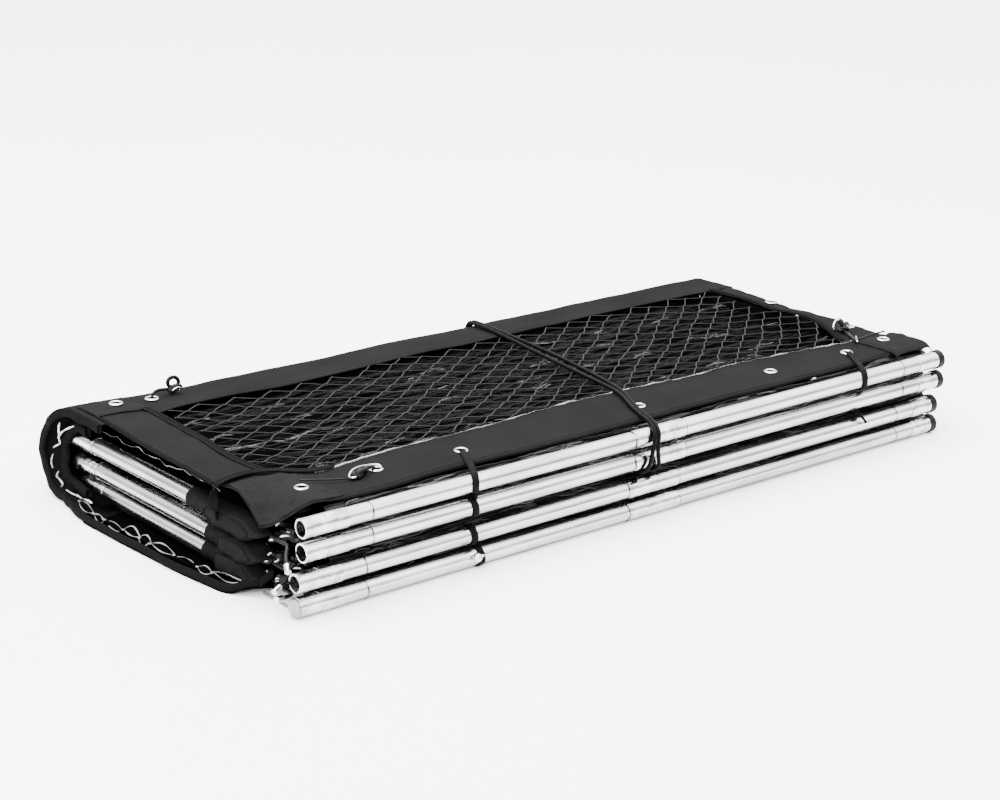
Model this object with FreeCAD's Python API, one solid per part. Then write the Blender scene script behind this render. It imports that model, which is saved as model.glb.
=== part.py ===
"""Folding net bed with a tube frame, folded flat for carrying.

Two framed net panels lie one inside the other. Each panel is a net with a woven
border, laced by elastic bands to a frame of two long poles and four short ones,
and is folded in half about a line along its back. From the top the four layers
are: 1 (outer panel), 2 and 3 (inner panel), 4 (outer panel).

Frame of the model: X runs along the long poles, +Y towards the fold, +Z up.
The origin is on the floor, midway along the long poles. Units are millimetres.
"""
import FreeCAD
import Part
import math
import os

V = FreeCAD.Vector

# ---------------------------------------------------------------- sizes
POLE_LENGTH = 780.0        # long pole, end to end
FOLD_Y = 182.0             # the fold line, behind the short poles
TUBE_D = 16.0              # every tube's outside
TUBE_WALL = 1.2
FITTING_WALL = 0.65        # how far sockets, sleeves, collars and ferrules stand out
SLIDE_CLEARANCE = 0.05     # radial, every sliding or pushed fit
SPIGOT_LENGTH = 24.0       # a fitting's root inside its tube
SOCKET_LENGTH = 43.0       # left end fitting of a long pole
SOCKET_WALL = 1.65
SOCKET_FLOOR = 9.0         # what is left behind its bore
GROOVE_FROM_END = 20.0     # bead pressed into each socket
GROOVE_WIDTH = 1.2
GROOVE_DEPTH = 0.4
SLEEVE_LENGTH = 62.0       # joins the two halves of a long pole
COLLAR_LENGTH = 35.0       # right end fitting of a long pole
COLLAR_BORE = 22.0
CAP_LENGTH = 6.5
CAP_WALL = 0.8
PLUG_FLANGE = 3.0
PLUG_LENGTH = 22.0
HALF_GAP = 0.5             # between a pole's two half tubes

POLE_ROW_Y = -190.0        # axis of the four long poles
POLE_GAP = 3.8             # between the fittings of poles 3 and 4
POLE_SHIFT = {1: 0.0, 2: 0.0, 3: -7.0, 4: -6.0}

SHORT_LIFT = 2.35          # lowest short poles, above the bottom deck
SHORT_GAP = 1.6            # between the boots of layers 3 and 4
SHORT_FRONT_Y = -112.0     # front end of a short tube
OUTER_SHORT_SETBACK = 12.0
INNER_SHORT_SETBACK = 2.0
FERRULE_LENGTH = 40.0
FERRULE_GAP = 1.0          # ring gap between ferrule and tube
SHORT_LEFT_INSET = {1: 30.0, 2: 2.0, 3: 4.0, 4: 5.0}
SHORT_RIGHT_INSET = 16.0
BOOT_LENGTH = 78.0         # rubber boot on a short tube's front end
BOOT_COVER = 30.0          # how far it covers the tube
BOOT_WALL = 0.65
BOOT_END = 4.0

FABRIC_T = 1.0
DECK_OVERHANG = 10.0       # past each end of the long poles
DECK_FRONT_Y = -178.0
OUTER_DECK_SETBACK = 22.0  # back edge, from the fold line
INNER_DECK_SETBACK = 32.0
INNER_TURN_SETBACK = 4.0
STRIP_FRONT = 71.0
STRIP_BACK = 50.0
STRIP_LEFT = 57.0
STRIP_RIGHT = 45.0
INNER_DECK_CLEAR = 0.2     # above the boots
INNER_DECK_DROP = 3.1      # underside of layer 3's border, below the fold line
BUNCH_CLEAR = 7.0          # gathered net, from the deck beside it
BUNCH_PLEATS = 8

EYELET_D = 12.4
EYELET_HOLE_D = 6.2
EYELET_FLANGE = 0.4
BAND_WIDTH = 4.8
BAND_T = 0.9
BAND_CLEARANCE = 0.08
EYELET_INSET_Y = 38.0      # front eyelets, from the border's front edge
BAND_INSET = {"left": 178.0, "right": 112.5}
TOP_EYELET_SKEW = {"left": 25.0, "right": 31.0}
LAYER_BAND_SHIFT = {2: -4.0, 3: -5.0, 4: 3.0}
LOOSE_BAND_INSET = 122.0    # knotted band of layer 3, from the long poles' right end
LOOSE_KNOT_D = 8.0
TOGGLE_D = 8.4
TOGGLE_STEM_D = 2.4
TOGGLE_RISE = 3.5          # ball, above the axis of pole 4

TIE_D = 4.0
TIE_GAP = 0.03             # above the deck
TIE_SPREAD = [2.3, 2.3, 2.3, 6.6, 4.6, 2.7, 2.7, 2.7, 4.6, 8.5, 8.5]
TIE_SLOT_X = (57.0, 80.0)  # buttonhole in the outer fold

CORD_D = 3.2
KNOT_D = 8.0
LOOP_D = 12.0
LOOP_CORD_D = 3.0
CORNER_CORD_D = 3.6
CRIMP_D = 5.6
CRIMP_LENGTH = 9.0

# ---------------------------------------------------------------- derived
HALF_POLE = POLE_LENGTH / 2
TUBE_R = TUBE_D / 2
BORE_R = TUBE_R - TUBE_WALL
SPIGOT_R = BORE_R - SLIDE_CLEARANCE
FITTING_R = TUBE_R + FITTING_WALL
SOCKET_BORE_R = FITTING_R - SOCKET_WALL
CAP_R = FITTING_R + SLIDE_CLEARANCE + CAP_WALL
OUTER_POLE_Z = CAP_R       # pole 4's end cap touches the floor
INNER_POLE_Z = OUTER_POLE_Z + 2 * FITTING_R + POLE_GAP
BOOT_R = TUBE_R + SLIDE_CLEARANCE + BOOT_WALL
OUTER_SHORT_Z = FABRIC_T + SHORT_LIFT + FITTING_R
INNER_SHORT_Z = OUTER_SHORT_Z + 2 * BOOT_R + SHORT_GAP
FOLD_Z = INNER_SHORT_Z + BOOT_R + INNER_DECK_CLEAR + INNER_DECK_DROP
DECK_HALF_X = HALF_POLE + DECK_OVERHANG
OUTER_DECK_BACK_Y = FOLD_Y - OUTER_DECK_SETBACK
INNER_DECK_BACK_Y = FOLD_Y - INNER_DECK_SETBACK
INNER_TURN_Y = FOLD_Y - INNER_TURN_SETBACK
INNER_DECK_Z = FOLD_Z - INNER_DECK_DROP
EYELET_ROW_Y = DECK_FRONT_Y + EYELET_INSET_Y
TOP_Z = 2 * FOLD_Z
BAND_X = {"left": BAND_INSET["left"] - HALF_POLE, "right": HALF_POLE - BAND_INSET["right"]}
TOP_EYELET_X = {side: BAND_X[side] + TOP_EYELET_SKEW[side] for side in BAND_X}
LOOSE_BAND_X = HALF_POLE - LOOSE_BAND_INSET
SHORT_LEFT_X = {layer: SHORT_LEFT_INSET[layer] - HALF_POLE for layer in SHORT_LEFT_INSET}
SHORT_RIGHT_X = HALF_POLE - SHORT_RIGHT_INSET
LAYERS = (1, 2, 3, 4)
OUTER_LAYERS = (1, 4)
BACK_CORD_AT = (74.0 - DECK_HALF_X, OUTER_DECK_BACK_Y - 11.0)
FRONT_CORD_AT = (127.0 - DECK_HALF_X, EYELET_ROW_Y + 8.0)
RIGHT_CORD_AT = (DECK_HALF_X - 20.0, EYELET_ROW_Y + 63.0)
SPARE_EYELETS = [(51.0 - DECK_HALF_X, EYELET_ROW_Y + 9.0), FRONT_CORD_AT, (24.0, EYELET_ROW_Y),
                 (0.5 * DECK_HALF_X, EYELET_ROW_Y + 1.0), (DECK_HALF_X - 38.0, EYELET_ROW_Y - 1.0),
                 (36.0 - DECK_HALF_X, OUTER_DECK_BACK_Y - 11.0), BACK_CORD_AT, RIGHT_CORD_AT,
                 (DECK_HALF_X - 16.0, EYELET_ROW_Y + 179.0)]


def folded(layer, z):
    """Height of a piece of this layer, given its height in layers 3 and 4."""
    return 2 * FOLD_Z - z if layer in (1, 2) else z


def pole_z(layer):
    return folded(layer, OUTER_POLE_Z if layer in OUTER_LAYERS else INNER_POLE_Z)


def short_z(layer):
    return folded(layer, OUTER_SHORT_Z if layer in OUTER_LAYERS else INNER_SHORT_Z)


def deck_span(layer):
    """Lowest and highest face of a layer's woven border."""
    low = 0.0 if layer in OUTER_LAYERS else INNER_DECK_Z
    pair = sorted((folded(layer, low), folded(layer, low + FABRIC_T)))
    return pair[0], pair[1]


def deck_back(layer):
    return OUTER_DECK_BACK_Y if layer in OUTER_LAYERS else INNER_DECK_BACK_Y


# ---------------------------------------------------------------- shape helpers
def rod_x(x0, x1, y, z, r):
    return Part.makeCylinder(r, x1 - x0, V(x0, y, z), V(1, 0, 0))


def rod_y(y0, y1, x, z, r):
    return Part.makeCylinder(r, y1 - y0, V(x, y0, z), V(0, 1, 0))


def rod_z(z0, z1, x, y, r):
    return Part.makeCylinder(r, z1 - z0, V(x, y, z0), V(0, 0, 1))


def slab(x0, x1, y0, y1, z0, z1):
    return Part.makeBox(x1 - x0, y1 - y0, z1 - z0, V(x0, y0, z0))


def softened(shape, radius, along):
    """Fillets the circular edges whose centres satisfy along(edge)."""
    edges = [e for e in shape.Edges if along(e)]
    return shape.makeFillet(radius, edges)


def rounded_path(points, bends):
    """Straight runs joined by tangent arcs: one arc of the given radius at each inner point."""
    points = [V(*p) for p in points]
    edges = []
    start = points[0]
    for i in range(1, len(points) - 1):
        into = (points[i] - points[i - 1]).normalize()
        out = (points[i + 1] - points[i]).normalize()
        turn = into.getAngle(out)
        shorter = min((points[i] - points[i - 1]).Length, (points[i + 1] - points[i]).Length)
        back = min(bends[i - 1] * math.tan(turn / 2), 0.45 * shorter)
        if turn < 0.01:
            continue
        radius = back / math.tan(turn / 2)
        a = points[i] - into * back
        b = points[i] + out * back
        inward = (out - into).normalize()
        centre = points[i] + inward * (radius / math.cos(turn / 2))
        middle = centre - inward * radius
        edges.append(Part.LineSegment(start, a).toShape())
        edges.append(Part.Arc(a, middle, b).toShape())
        start = b
    edges.append(Part.LineSegment(start, points[-1]).toShape())
    return Part.Wire(edges)


def swept_round(path, diameter):
    """A round cord along a path, checked against its section times its length."""
    first = path.Edges[0]
    p = first.valueAt(first.FirstParameter)
    heading = first.tangentAt(first.FirstParameter)
    ring = Part.Wire([Part.makeCircle(diameter / 2, p, heading)])
    cord = path.makePipeShell([ring], True, False)
    expected = math.pi * diameter ** 2 / 4 * path.Length
    if abs(cord.Volume - expected) > 0.03 * expected:
        raise RuntimeError("cord volume %.1f, expected %.1f" % (cord.Volume, expected))
    return cord


def belt_wire(r, edge, end, top, bottom):
    """Belt outline in (y, z): round a circle of radius r about (0, 0), flat from edge to end."""

    def tangent(point, side):
        d = math.hypot(*point)
        turn = math.atan2(point[1], point[0]) + side * math.acos(r / d)
        return (r * math.cos(turn), r * math.sin(turn))

    corners = [(edge, top), (end, top), (end, bottom), (edge, bottom)]
    corners = [tangent(corners[0], 1)] + corners + [tangent(corners[3], -1)]
    p = [V(0, q[0], q[1]) for q in corners]
    sides = [Part.LineSegment(p[i], p[i + 1]).toShape() for i in range(len(p) - 1)]
    return Part.Wire(sides + [Part.Arc(p[-1], V(0, -r, 0), p[0]).toShape()])


# ---------------------------------------------------------------- long poles
def left_socket(layer):
    """Open end fitting with a blind bore and a spigot inside the tube."""
    x0 = -HALF_POLE + POLE_SHIFT[layer]
    y, z = POLE_ROW_Y, pole_z(layer)
    body = rod_x(x0, x0 + SOCKET_LENGTH, y, z, FITTING_R)
    body = softened(body, 0.6, lambda e: e.Curve.TypeId == "Part::GeomCircle" and e.CenterOfMass.x < x0 + 1)
    body = body.fuse(rod_x(x0 + SOCKET_LENGTH, x0 + SOCKET_LENGTH + SPIGOT_LENGTH, y, z, SPIGOT_R))
    body = body.cut(rod_x(x0, x0 + SOCKET_LENGTH - SOCKET_FLOOR, y, z, SOCKET_BORE_R))
    groove_x = x0 + GROOVE_FROM_END
    groove = rod_x(groove_x, groove_x + GROOVE_WIDTH, y, z, FITTING_R + 1)
    groove = groove.cut(rod_x(groove_x, groove_x + GROOVE_WIDTH, y, z, FITTING_R - GROOVE_DEPTH))
    return body.cut(groove).removeSplitter()


def half_tube(layer, x0, x1):
    y, z = POLE_ROW_Y, pole_z(layer)
    return rod_x(x0, x1, y, z, TUBE_R).cut(rod_x(x0, x1, y, z, BORE_R))


def left_tube(layer):
    shift = POLE_SHIFT[layer]
    return half_tube(layer, -HALF_POLE + SOCKET_LENGTH + shift, shift)


def right_tube(layer):
    shift = POLE_SHIFT[layer]
    return half_tube(layer, HALF_GAP + shift, HALF_POLE - COLLAR_LENGTH + shift)


def mid_sleeve(layer):
    """Outside sleeve: fixed on the left half, the right half slides in it."""
    shift = POLE_SHIFT[layer]
    x0, x1 = shift - SLEEVE_LENGTH / 2, shift + SLEEVE_LENGTH / 2
    y, z = POLE_ROW_Y, pole_z(layer)
    return rod_x(x0, x1, y, z, FITTING_R).cut(rod_x(x0, x1, y, z, TUBE_R + SLIDE_CLEARANCE))


def right_collar(layer):
    x1 = HALF_POLE + POLE_SHIFT[layer]
    x0 = x1 - COLLAR_LENGTH
    y, z = POLE_ROW_Y, pole_z(layer)
    collar = rod_x(x0, x1, y, z, FITTING_R).fuse(rod_x(x0 - SPIGOT_LENGTH, x0, y, z, SPIGOT_R))
    return collar.cut(rod_x(x1 - COLLAR_BORE, x1, y, z, SOCKET_BORE_R)).removeSplitter()


def right_cap(layer):
    """Rubber cap pushed over the collar's end."""
    x1 = HALF_POLE + POLE_SHIFT[layer]
    y, z = POLE_ROW_Y, pole_z(layer)
    cap = rod_x(x1 - CAP_LENGTH, x1 + CAP_WALL, y, z, CAP_R)
    cap = softened(cap, 0.5, lambda e: e.Curve.TypeId == "Part::GeomCircle")
    return cap.cut(rod_x(x1 - CAP_LENGTH, x1, y, z, CAP_R - CAP_WALL))


def end_plug(layer):
    """Closes a socket: a flange on the face and a shank in the bore."""
    x0 = -HALF_POLE + POLE_SHIFT[layer]
    y, z = POLE_ROW_Y, pole_z(layer)
    flange = rod_x(x0 - PLUG_FLANGE, x0, y, z, FITTING_R - 0.65)
    flange = softened(flange, 1.2, lambda e: e.Curve.TypeId == "Part::GeomCircle"
                      and e.CenterOfMass.x < x0 - PLUG_FLANGE / 2)
    shank = rod_x(x0, x0 + PLUG_LENGTH, y, z, SOCKET_BORE_R - SLIDE_CLEARANCE)
    return flange.fuse(shank).removeSplitter()


# ---------------------------------------------------------------- short poles
def short_back(layer):
    return FOLD_Y - (OUTER_SHORT_SETBACK if layer in OUTER_LAYERS else INNER_SHORT_SETBACK)


def short_tube(layer, x):
    y0, y1 = SHORT_FRONT_Y, short_back(layer) - FERRULE_LENGTH
    z = short_z(layer)
    return rod_y(y0, y1, x, z, TUBE_R).cut(rod_y(y0, y1, x, z, BORE_R))


def short_ferrule(layer, x):
    """Back end fitting: a closed, stepped ferrule on a spigot."""
    y1 = short_back(layer)
    y0 = y1 - FERRULE_LENGTH
    z = short_z(layer)
    ferrule = rod_y(y0 + FERRULE_GAP, y1, x, z, FITTING_R)
    ferrule = softened(ferrule, 0.8, lambda e: e.Curve.TypeId == "Part::GeomCircle")
    return ferrule.fuse(rod_y(y0 - SPIGOT_LENGTH, y0 + FERRULE_GAP, x, z, SPIGOT_R)).removeSplitter()


def corner_boot(layer, x):
    """Rubber boot on a short tube's front end."""
    z = short_z(layer)
    y1 = SHORT_FRONT_Y + BOOT_COVER
    y0 = y1 - BOOT_LENGTH
    boot = rod_y(y0, y1, x, z, BOOT_R)
    boot = softened(boot, 0.9, lambda e: e.Curve.TypeId == "Part::GeomCircle" and e.CenterOfMass.y < y0 + 1)
    return boot.cut(rod_y(y0 + BOOT_END, y1, x, z, BOOT_R - BOOT_WALL))


# ---------------------------------------------------------------- decks
def eyelets_of(layer):
    """(x, y) of each eyelet in a layer's border."""
    if layer == 1:
        banded = [(x, EYELET_ROW_Y) for x in TOP_EYELET_X.values()]
        return banded + SPARE_EYELETS
    if layer == 4:
        return []
    loose = [(LOOSE_BAND_X, EYELET_ROW_Y)] if layer == 3 else []
    return [(BAND_X["left"] + LAYER_BAND_SHIFT[layer], EYELET_ROW_Y)] + loose


def border_strips(layer):
    """Front, back, left and right strips of the woven border."""
    z0, z1 = deck_span(layer)
    y0, y1 = DECK_FRONT_Y, deck_back(layer)
    strips = [slab(-DECK_HALF_X, DECK_HALF_X, y0, y0 + STRIP_FRONT, z0, z1),
              slab(-DECK_HALF_X, DECK_HALF_X, y1 - STRIP_BACK, y1, z0, z1),
              slab(-DECK_HALF_X, -DECK_HALF_X + STRIP_LEFT, y0 + STRIP_FRONT, y1 - STRIP_BACK, z0, z1),
              slab(DECK_HALF_X - STRIP_RIGHT, DECK_HALF_X, y0 + STRIP_FRONT, y1 - STRIP_BACK, z0, z1)]
    holes = [rod_z(z0 - 1, z1 + 1, x, y, EYELET_HOLE_D / 2 + FABRIC_T / 2) for x, y in eyelets_of(layer)]
    if holes:
        strips = [s.cut(holes) for s in strips]
    return strips


def net_panel(layer):
    z0, z1 = deck_span(layer)
    return slab(-DECK_HALF_X + STRIP_LEFT, DECK_HALF_X - STRIP_RIGHT,
                DECK_FRONT_Y + STRIP_FRONT, deck_back(layer) - STRIP_BACK, z0, z1)


def bunched_net(layer):
    """The inner panel's net, in pleats between its border and the outer panel's deck."""
    z0, z1 = sorted((folded(layer, INNER_DECK_Z + FABRIC_T), folded(layer, FABRIC_T + BUNCH_CLEAR)))
    x0, x1 = -DECK_HALF_X + STRIP_LEFT, DECK_HALF_X - STRIP_RIGHT
    y0, y1 = DECK_FRONT_Y + STRIP_FRONT, deck_back(layer) - STRIP_BACK
    pitch = (y1 - y0) / BUNCH_PLEATS
    near, far = (z0, z1 - FABRIC_T) if layer == 2 else (z1 - FABRIC_T, z0)
    sheets = []
    for i in range(BUNCH_PLEATS):
        y = y0 + i * pitch
        z = near if i % 2 == 0 else far
        sheets.append(slab(x0, x1, y, min(y + pitch + FABRIC_T, y1), z, z + FABRIC_T))
        if i:
            sheets.append(slab(x0, x1, y, y + FABRIC_T, z0, z1))
    return sheets[0].fuse(sheets[1:]).removeSplitter()


def eyelet(layer, x, y):
    """Rolled metal eyelet: a barrel through the fabric and a flange on each face."""
    z0, z1 = deck_span(layer)
    barrel_r = EYELET_HOLE_D / 2 + FABRIC_T / 2
    ring = rod_z(z0, z1, x, y, barrel_r)
    ring = ring.fuse([rod_z(z1, z1 + EYELET_FLANGE, x, y, EYELET_D / 2),
                      rod_z(z0 - EYELET_FLANGE, z0, x, y, EYELET_D / 2)])
    return ring.cut(rod_z(z0 - 1, z1 + 1, x, y, EYELET_HOLE_D / 2)).removeSplitter()


def outer_fold():
    """Half round of fabric that joins layers 1 and 4 behind the poles."""
    y = OUTER_DECK_BACK_Y
    r = FOLD_Z
    shell = rod_x(-DECK_HALF_X, DECK_HALF_X, y, FOLD_Z, r)
    shell = shell.cut(rod_x(-DECK_HALF_X, DECK_HALF_X, y, FOLD_Z, r - FABRIC_T))
    shell = shell.common(slab(-DECK_HALF_X, DECK_HALF_X, y, y + r + 1, 0, 2 * r))
    return shell.cut(slab(TIE_SLOT_X[0], TIE_SLOT_X[1], y + 0.5, FOLD_Y + 6, FOLD_Z, 2 * r + 1))


def inner_fold():
    """Tight turn of fabric that joins layers 2 and 3."""
    z0, z1 = deck_span(3)
    r = FOLD_Z - z0
    x0, x1 = -DECK_HALF_X, DECK_HALF_X
    turn = rod_x(x0, x1, INNER_TURN_Y, FOLD_Z, r).cut(rod_x(x0, x1, INNER_TURN_Y, FOLD_Z, r - FABRIC_T))
    turn = turn.common(slab(x0, x1, INNER_TURN_Y, INNER_TURN_Y + r + 1, 0, 2 * FOLD_Z))
    low = slab(x0, x1, INNER_DECK_BACK_Y, INNER_TURN_Y, z0, z1)
    high = slab(x0, x1, INNER_DECK_BACK_Y, INNER_TURN_Y, 2 * FOLD_Z - z1, 2 * FOLD_Z - z0)
    return turn.fuse([low, high]).removeSplitter()


# ---------------------------------------------------------------- bands and cords
def lacing_band(layer, pole_x, eyelet_x):
    """Flat elastic band round a long pole and through the border's eyelet, askew if they differ."""
    z0, z1 = deck_span(layer)
    axis_z = pole_z(layer)
    reach = EYELET_ROW_Y - POLE_ROW_Y
    skew = math.atan2(eyelet_x - pole_x, reach)
    half = BAND_T / 2
    edge = DECK_FRONT_Y - POLE_ROW_Y - BAND_T - BAND_CLEARANCE
    top = z1 - axis_z + EYELET_FLANGE + BAND_CLEARANCE
    bottom = z0 - axis_z - EYELET_FLANGE - BAND_CLEARANCE
    inner = belt_wire(TUBE_R + BAND_CLEARANCE, edge, reach - half, top, bottom)
    outer = belt_wire(TUBE_R + BAND_CLEARANCE + BAND_T, edge, reach + half, top + BAND_T, bottom - BAND_T)
    belt = Part.Face(outer).cut(Part.Face(inner)).extrude(V(4 * reach, 0, 0))
    belt.translate(V((pole_x + eyelet_x) / 2 - 2 * reach, POLE_ROW_Y, axis_z))
    path = slab(-BAND_WIDTH / 2, BAND_WIDTH / 2, -2 * reach, 2 * reach, 0, 2 * FOLD_Z + 10)
    path.rotate(V(0, 0, 0), V(0, 0, 1), -math.degrees(skew))
    path.translate(V(eyelet_x, EYELET_ROW_Y, 0))
    return belt.common(path).removeSplitter()


def pole_ring(layer, x):
    """Plain elastic ring round a pole."""
    y, z = POLE_ROW_Y, pole_z(layer)
    x0, x1 = x - BAND_WIDTH / 2, x + BAND_WIDTH / 2
    inner_r = TUBE_R + BAND_CLEARANCE
    return rod_x(x0, x1, y, z, inner_r + BAND_T).cut(rod_x(x0, x1, y, z, inner_r))


def bands_of(layer):
    if layer == 1:
        return [lacing_band(1, BAND_X[side], TOP_EYELET_X[side]) for side in BAND_X]
    x = BAND_X["left"] + LAYER_BAND_SHIFT[layer]
    if layer == 4:
        return [pole_ring(4, x)]
    return [lacing_band(layer, x, x)] + ([loose_band()] if layer == 3 else [])


def loose_band():
    """Band that has come off pole 3: it lies on layer 3's border and ends in a knot above the pole."""
    z0 = deck_span(3)[1] + EYELET_FLANGE + BAND_CLEARANCE
    front = POLE_ROW_Y - LOOSE_KNOT_D / 2 - 1.0
    half = BAND_WIDTH / 2
    strap = slab(LOOSE_BAND_X - half, LOOSE_BAND_X + half, front, EYELET_ROW_Y, z0, z0 + BAND_T)
    knot = Part.makeSphere(LOOSE_KNOT_D / 2, V(LOOSE_BAND_X, front, z0 + BAND_T / 2 + 0.8))
    return strap.fuse(knot).removeSplitter()


def toggle():
    """Metal ball beside pole 4, on a stem that rests against the pole's elastic ring."""
    ring_x = BAND_X["left"] + LAYER_BAND_SHIFT[4]
    reach = TUBE_R + TOGGLE_D / 2 + 0.1
    hold = TUBE_R + BAND_CLEARANCE + BAND_T + TOGGLE_STEM_D / 2 + 0.05
    turn = math.asin(TOGGLE_RISE / reach)
    x = ring_x - BAND_WIDTH / 2 - TOGGLE_D / 2 - 1.6
    ball = Part.makeSphere(TOGGLE_D / 2, V(x, POLE_ROW_Y - reach * math.cos(turn), pole_z(4) + TOGGLE_RISE))
    stem = rod_x(x, ring_x, POLE_ROW_Y - hold * math.cos(turn), pole_z(4) + hold * math.sin(turn),
                 TOGGLE_STEM_D / 2)
    return ball.fuse(stem).removeSplitter()


def tie_strand(side):
    """One strand of the doubled elastic tie: over the top, then down round poles 1 and 2."""
    over = TOP_Z + TIE_D / 2 + TIE_GAP
    front = POLE_ROW_Y - FITTING_R - TIE_D / 2 - 1.35
    bend = POLE_ROW_Y - front - 0.4
    under = pole_z(2) - FITTING_R - TIE_D / 2 - 0.35
    route = [(70.0, FOLD_Y - 5, over - 18), (70.5, FOLD_Y - 14, over + 0.2), (70.0, FOLD_Y - 60, over),
             (57.5, 22.0, over), (43.0, -65.0, over), (33.0, -108.0, over + 0.5), (9.5, -150.0, over + 0.5),
             (-9.0, front, over + 0.4), (-12.0, front, pole_z(2) + 10.6), (-13.5, front, under),
             (-13.5, POLE_ROW_Y + 8, under)]
    route = [(x + side * gap, y, z) for (x, y, z), gap in zip(route, TIE_SPREAD)]
    bends = [7.0, 60.0, 120.0, 200.0, 120.0, 60.0, 60.0, bend, 20.0, bend - 0.6]
    return swept_round(rounded_path(route, bends[:len(route) - 2]), TIE_D)


def eyelet_cord_route(side):
    """Up through an eyelet, over, and down to the knot on the border."""
    ways = {"back": (BACK_CORD_AT, (9.0, 2.0), (23.0, 5.0)),
            "front": (FRONT_CORD_AT, (-8.0, -2.0), (-19.0, -5.0)),
            "right": (RIGHT_CORD_AT, (-6.0, -2.0), (-18.0, -5.0))}
    (x, y), hump, end = ways[side]
    return [(x, y, TOP_Z + 0.2), (x, y, TOP_Z + 5.0), (x + hump[0], y + hump[1], TOP_Z + 6.5),
            (x + end[0], y + end[1], TOP_Z + 5.2)]


CORD_SIDES = ("back", "front", "right")
EYELET_CORD_BENDS = [3.4, 6.0]
CORNER_CORD_STEPS = {2: [(-8.0, -16.0, -5.0), (-12.0, -24.0, -9.0)],
                     3: [(-9.0, -14.0, -3.5), (-16.5, -17.0, -5.5)],
                     4: [(-7.0, -14.0, 1.0), (-16.0, -17.5, 3.0)]}
CORNER_CORD_BENDS = [7.0, 9.0]


def corner_cord_route(layer):
    """Straight out of the boot's front end, then forward and out at the corner."""
    x, y, z = SHORT_LEFT_X[layer], SHORT_FRONT_Y + BOOT_COVER - BOOT_LENGTH, short_z(layer)
    return [(x, y, z), (x, y - 8, z)] + [(x + i, y + j, z + k) for i, j, k in CORNER_CORD_STEPS[layer]]


def eyelet_cord(side):
    return swept_round(rounded_path(eyelet_cord_route(side), EYELET_CORD_BENDS), CORD_D)


def cord_knot(side):
    """Ball of the knot and the loop that stands above it."""
    a, b = (V(*p) for p in eyelet_cord_route(side)[-2:])
    heading = (b - a).normalize()
    centre = b + heading * (KNOT_D / 2 - 0.4)
    ball = Part.makeSphere(KNOT_D / 2, centre)
    ring = Part.makeTorus(LOOP_D / 2 - LOOP_CORD_D / 2, LOOP_CORD_D / 2,
                          centre + V(0, 0, KNOT_D / 2 + LOOP_D / 2 - 2.5), V(0.35, 1, 0))
    trim = ball.cut(eyelet_cord(side))
    return trim.fuse(ring).removeSplitter() if side != "front" else trim


def corner_cord(layer):
    return swept_round(rounded_path(corner_cord_route(layer), CORNER_CORD_BENDS), CORNER_CORD_D)


def cord_crimp(layer):
    """Metal end crimped on a corner cord, face to face with its end."""
    a, b = (V(*p) for p in corner_cord_route(layer)[-2:])
    heading = (b - a).normalize()
    crimp = Part.makeCylinder(CRIMP_D / 2, CRIMP_LENGTH, b, heading)
    return softened(crimp, 0.8, lambda e: e.Curve.TypeId == "Part::GeomCircle")


# ---------------------------------------------------------------- the whole object
def build():
    """Every node's solids, by node name."""
    nodes = {}
    for layer in LAYERS:
        pole = "pole_%d_" % layer
        nodes[pole + "socket"] = [left_socket(layer)]
        nodes[pole + "left_tube"] = [left_tube(layer)]
        nodes[pole + "sleeve"] = [mid_sleeve(layer)]
        nodes[pole + "right_tube"] = [right_tube(layer)]
        nodes[pole + "collar"] = [right_collar(layer)]
        nodes[pole + "cap"] = [right_cap(layer)]
        sides = (SHORT_LEFT_X[layer], SHORT_RIGHT_X)
        nodes["short_tubes_%d" % layer] = [short_tube(layer, x) for x in sides]
        nodes["short_ferrules_%d" % layer] = [short_ferrule(layer, x) for x in sides]
        nodes["corner_boots_%d" % layer] = [corner_boot(layer, x) for x in sides]
        nodes["deck_%d_border" % layer] = border_strips(layer)
    nodes["pole_4_end_plug"] = [end_plug(4)]
    nodes["deck_1_net"] = [net_panel(1)]
    nodes["deck_2_net"] = [bunched_net(2)]
    nodes["deck_3_net"] = [bunched_net(3)]
    nodes["deck_4_net"] = [net_panel(4)]
    for half, pair in (("upper", (1, 2)), ("lower", (3, 4))):
        nodes["lacing_bands_" + half] = [band for layer in pair for band in bands_of(layer)]
        nodes["eyelets_" + half] = [eyelet(n, x, y) for n in pair for x, y in eyelets_of(n)]
    nodes["outer_fold"] = [outer_fold()]
    nodes["inner_fold"] = [inner_fold()]
    nodes["band_toggle"] = [toggle()]
    nodes["tie_cord"] = [tie_strand(1), tie_strand(-1)]
    nodes["eyelet_cords"] = [eyelet_cord(side) for side in CORD_SIDES]
    nodes["cord_knots"] = [cord_knot(side) for side in CORD_SIDES]
    nodes["corner_cord_2"] = [corner_cord(2)]
    nodes["corner_cords_3_4"] = [corner_cord(3), corner_cord(4)]
    nodes["cord_crimp_2"] = [cord_crimp(2)]
    nodes["cord_crimps_3_4"] = [cord_crimp(3), cord_crimp(4)]
    return nodes


def solids_of(shapes):
    return [s for shape in shapes for s in shape.Solids]


def main():
    os.makedirs("parts", exist_ok=True)
    for name, shapes in build().items():
        solids = solids_of(shapes)
        bad = [s for s in solids if not s.isValid() or s.Volume <= 0]
        if bad or not solids:
            raise RuntimeError("bad solid in " + name)
        Part.makeCompound(solids).exportStep("parts/%s.step" % name)
        print("%-24s %2d solids %10.1f mm3" % (name, len(solids), sum(s.Volume for s in solids)))


main()
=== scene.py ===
"""Folding net bed with a tube frame, folded flat and tied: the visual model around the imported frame."""

import logging
import math
from dataclasses import dataclass, field
from enum import Enum

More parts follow.
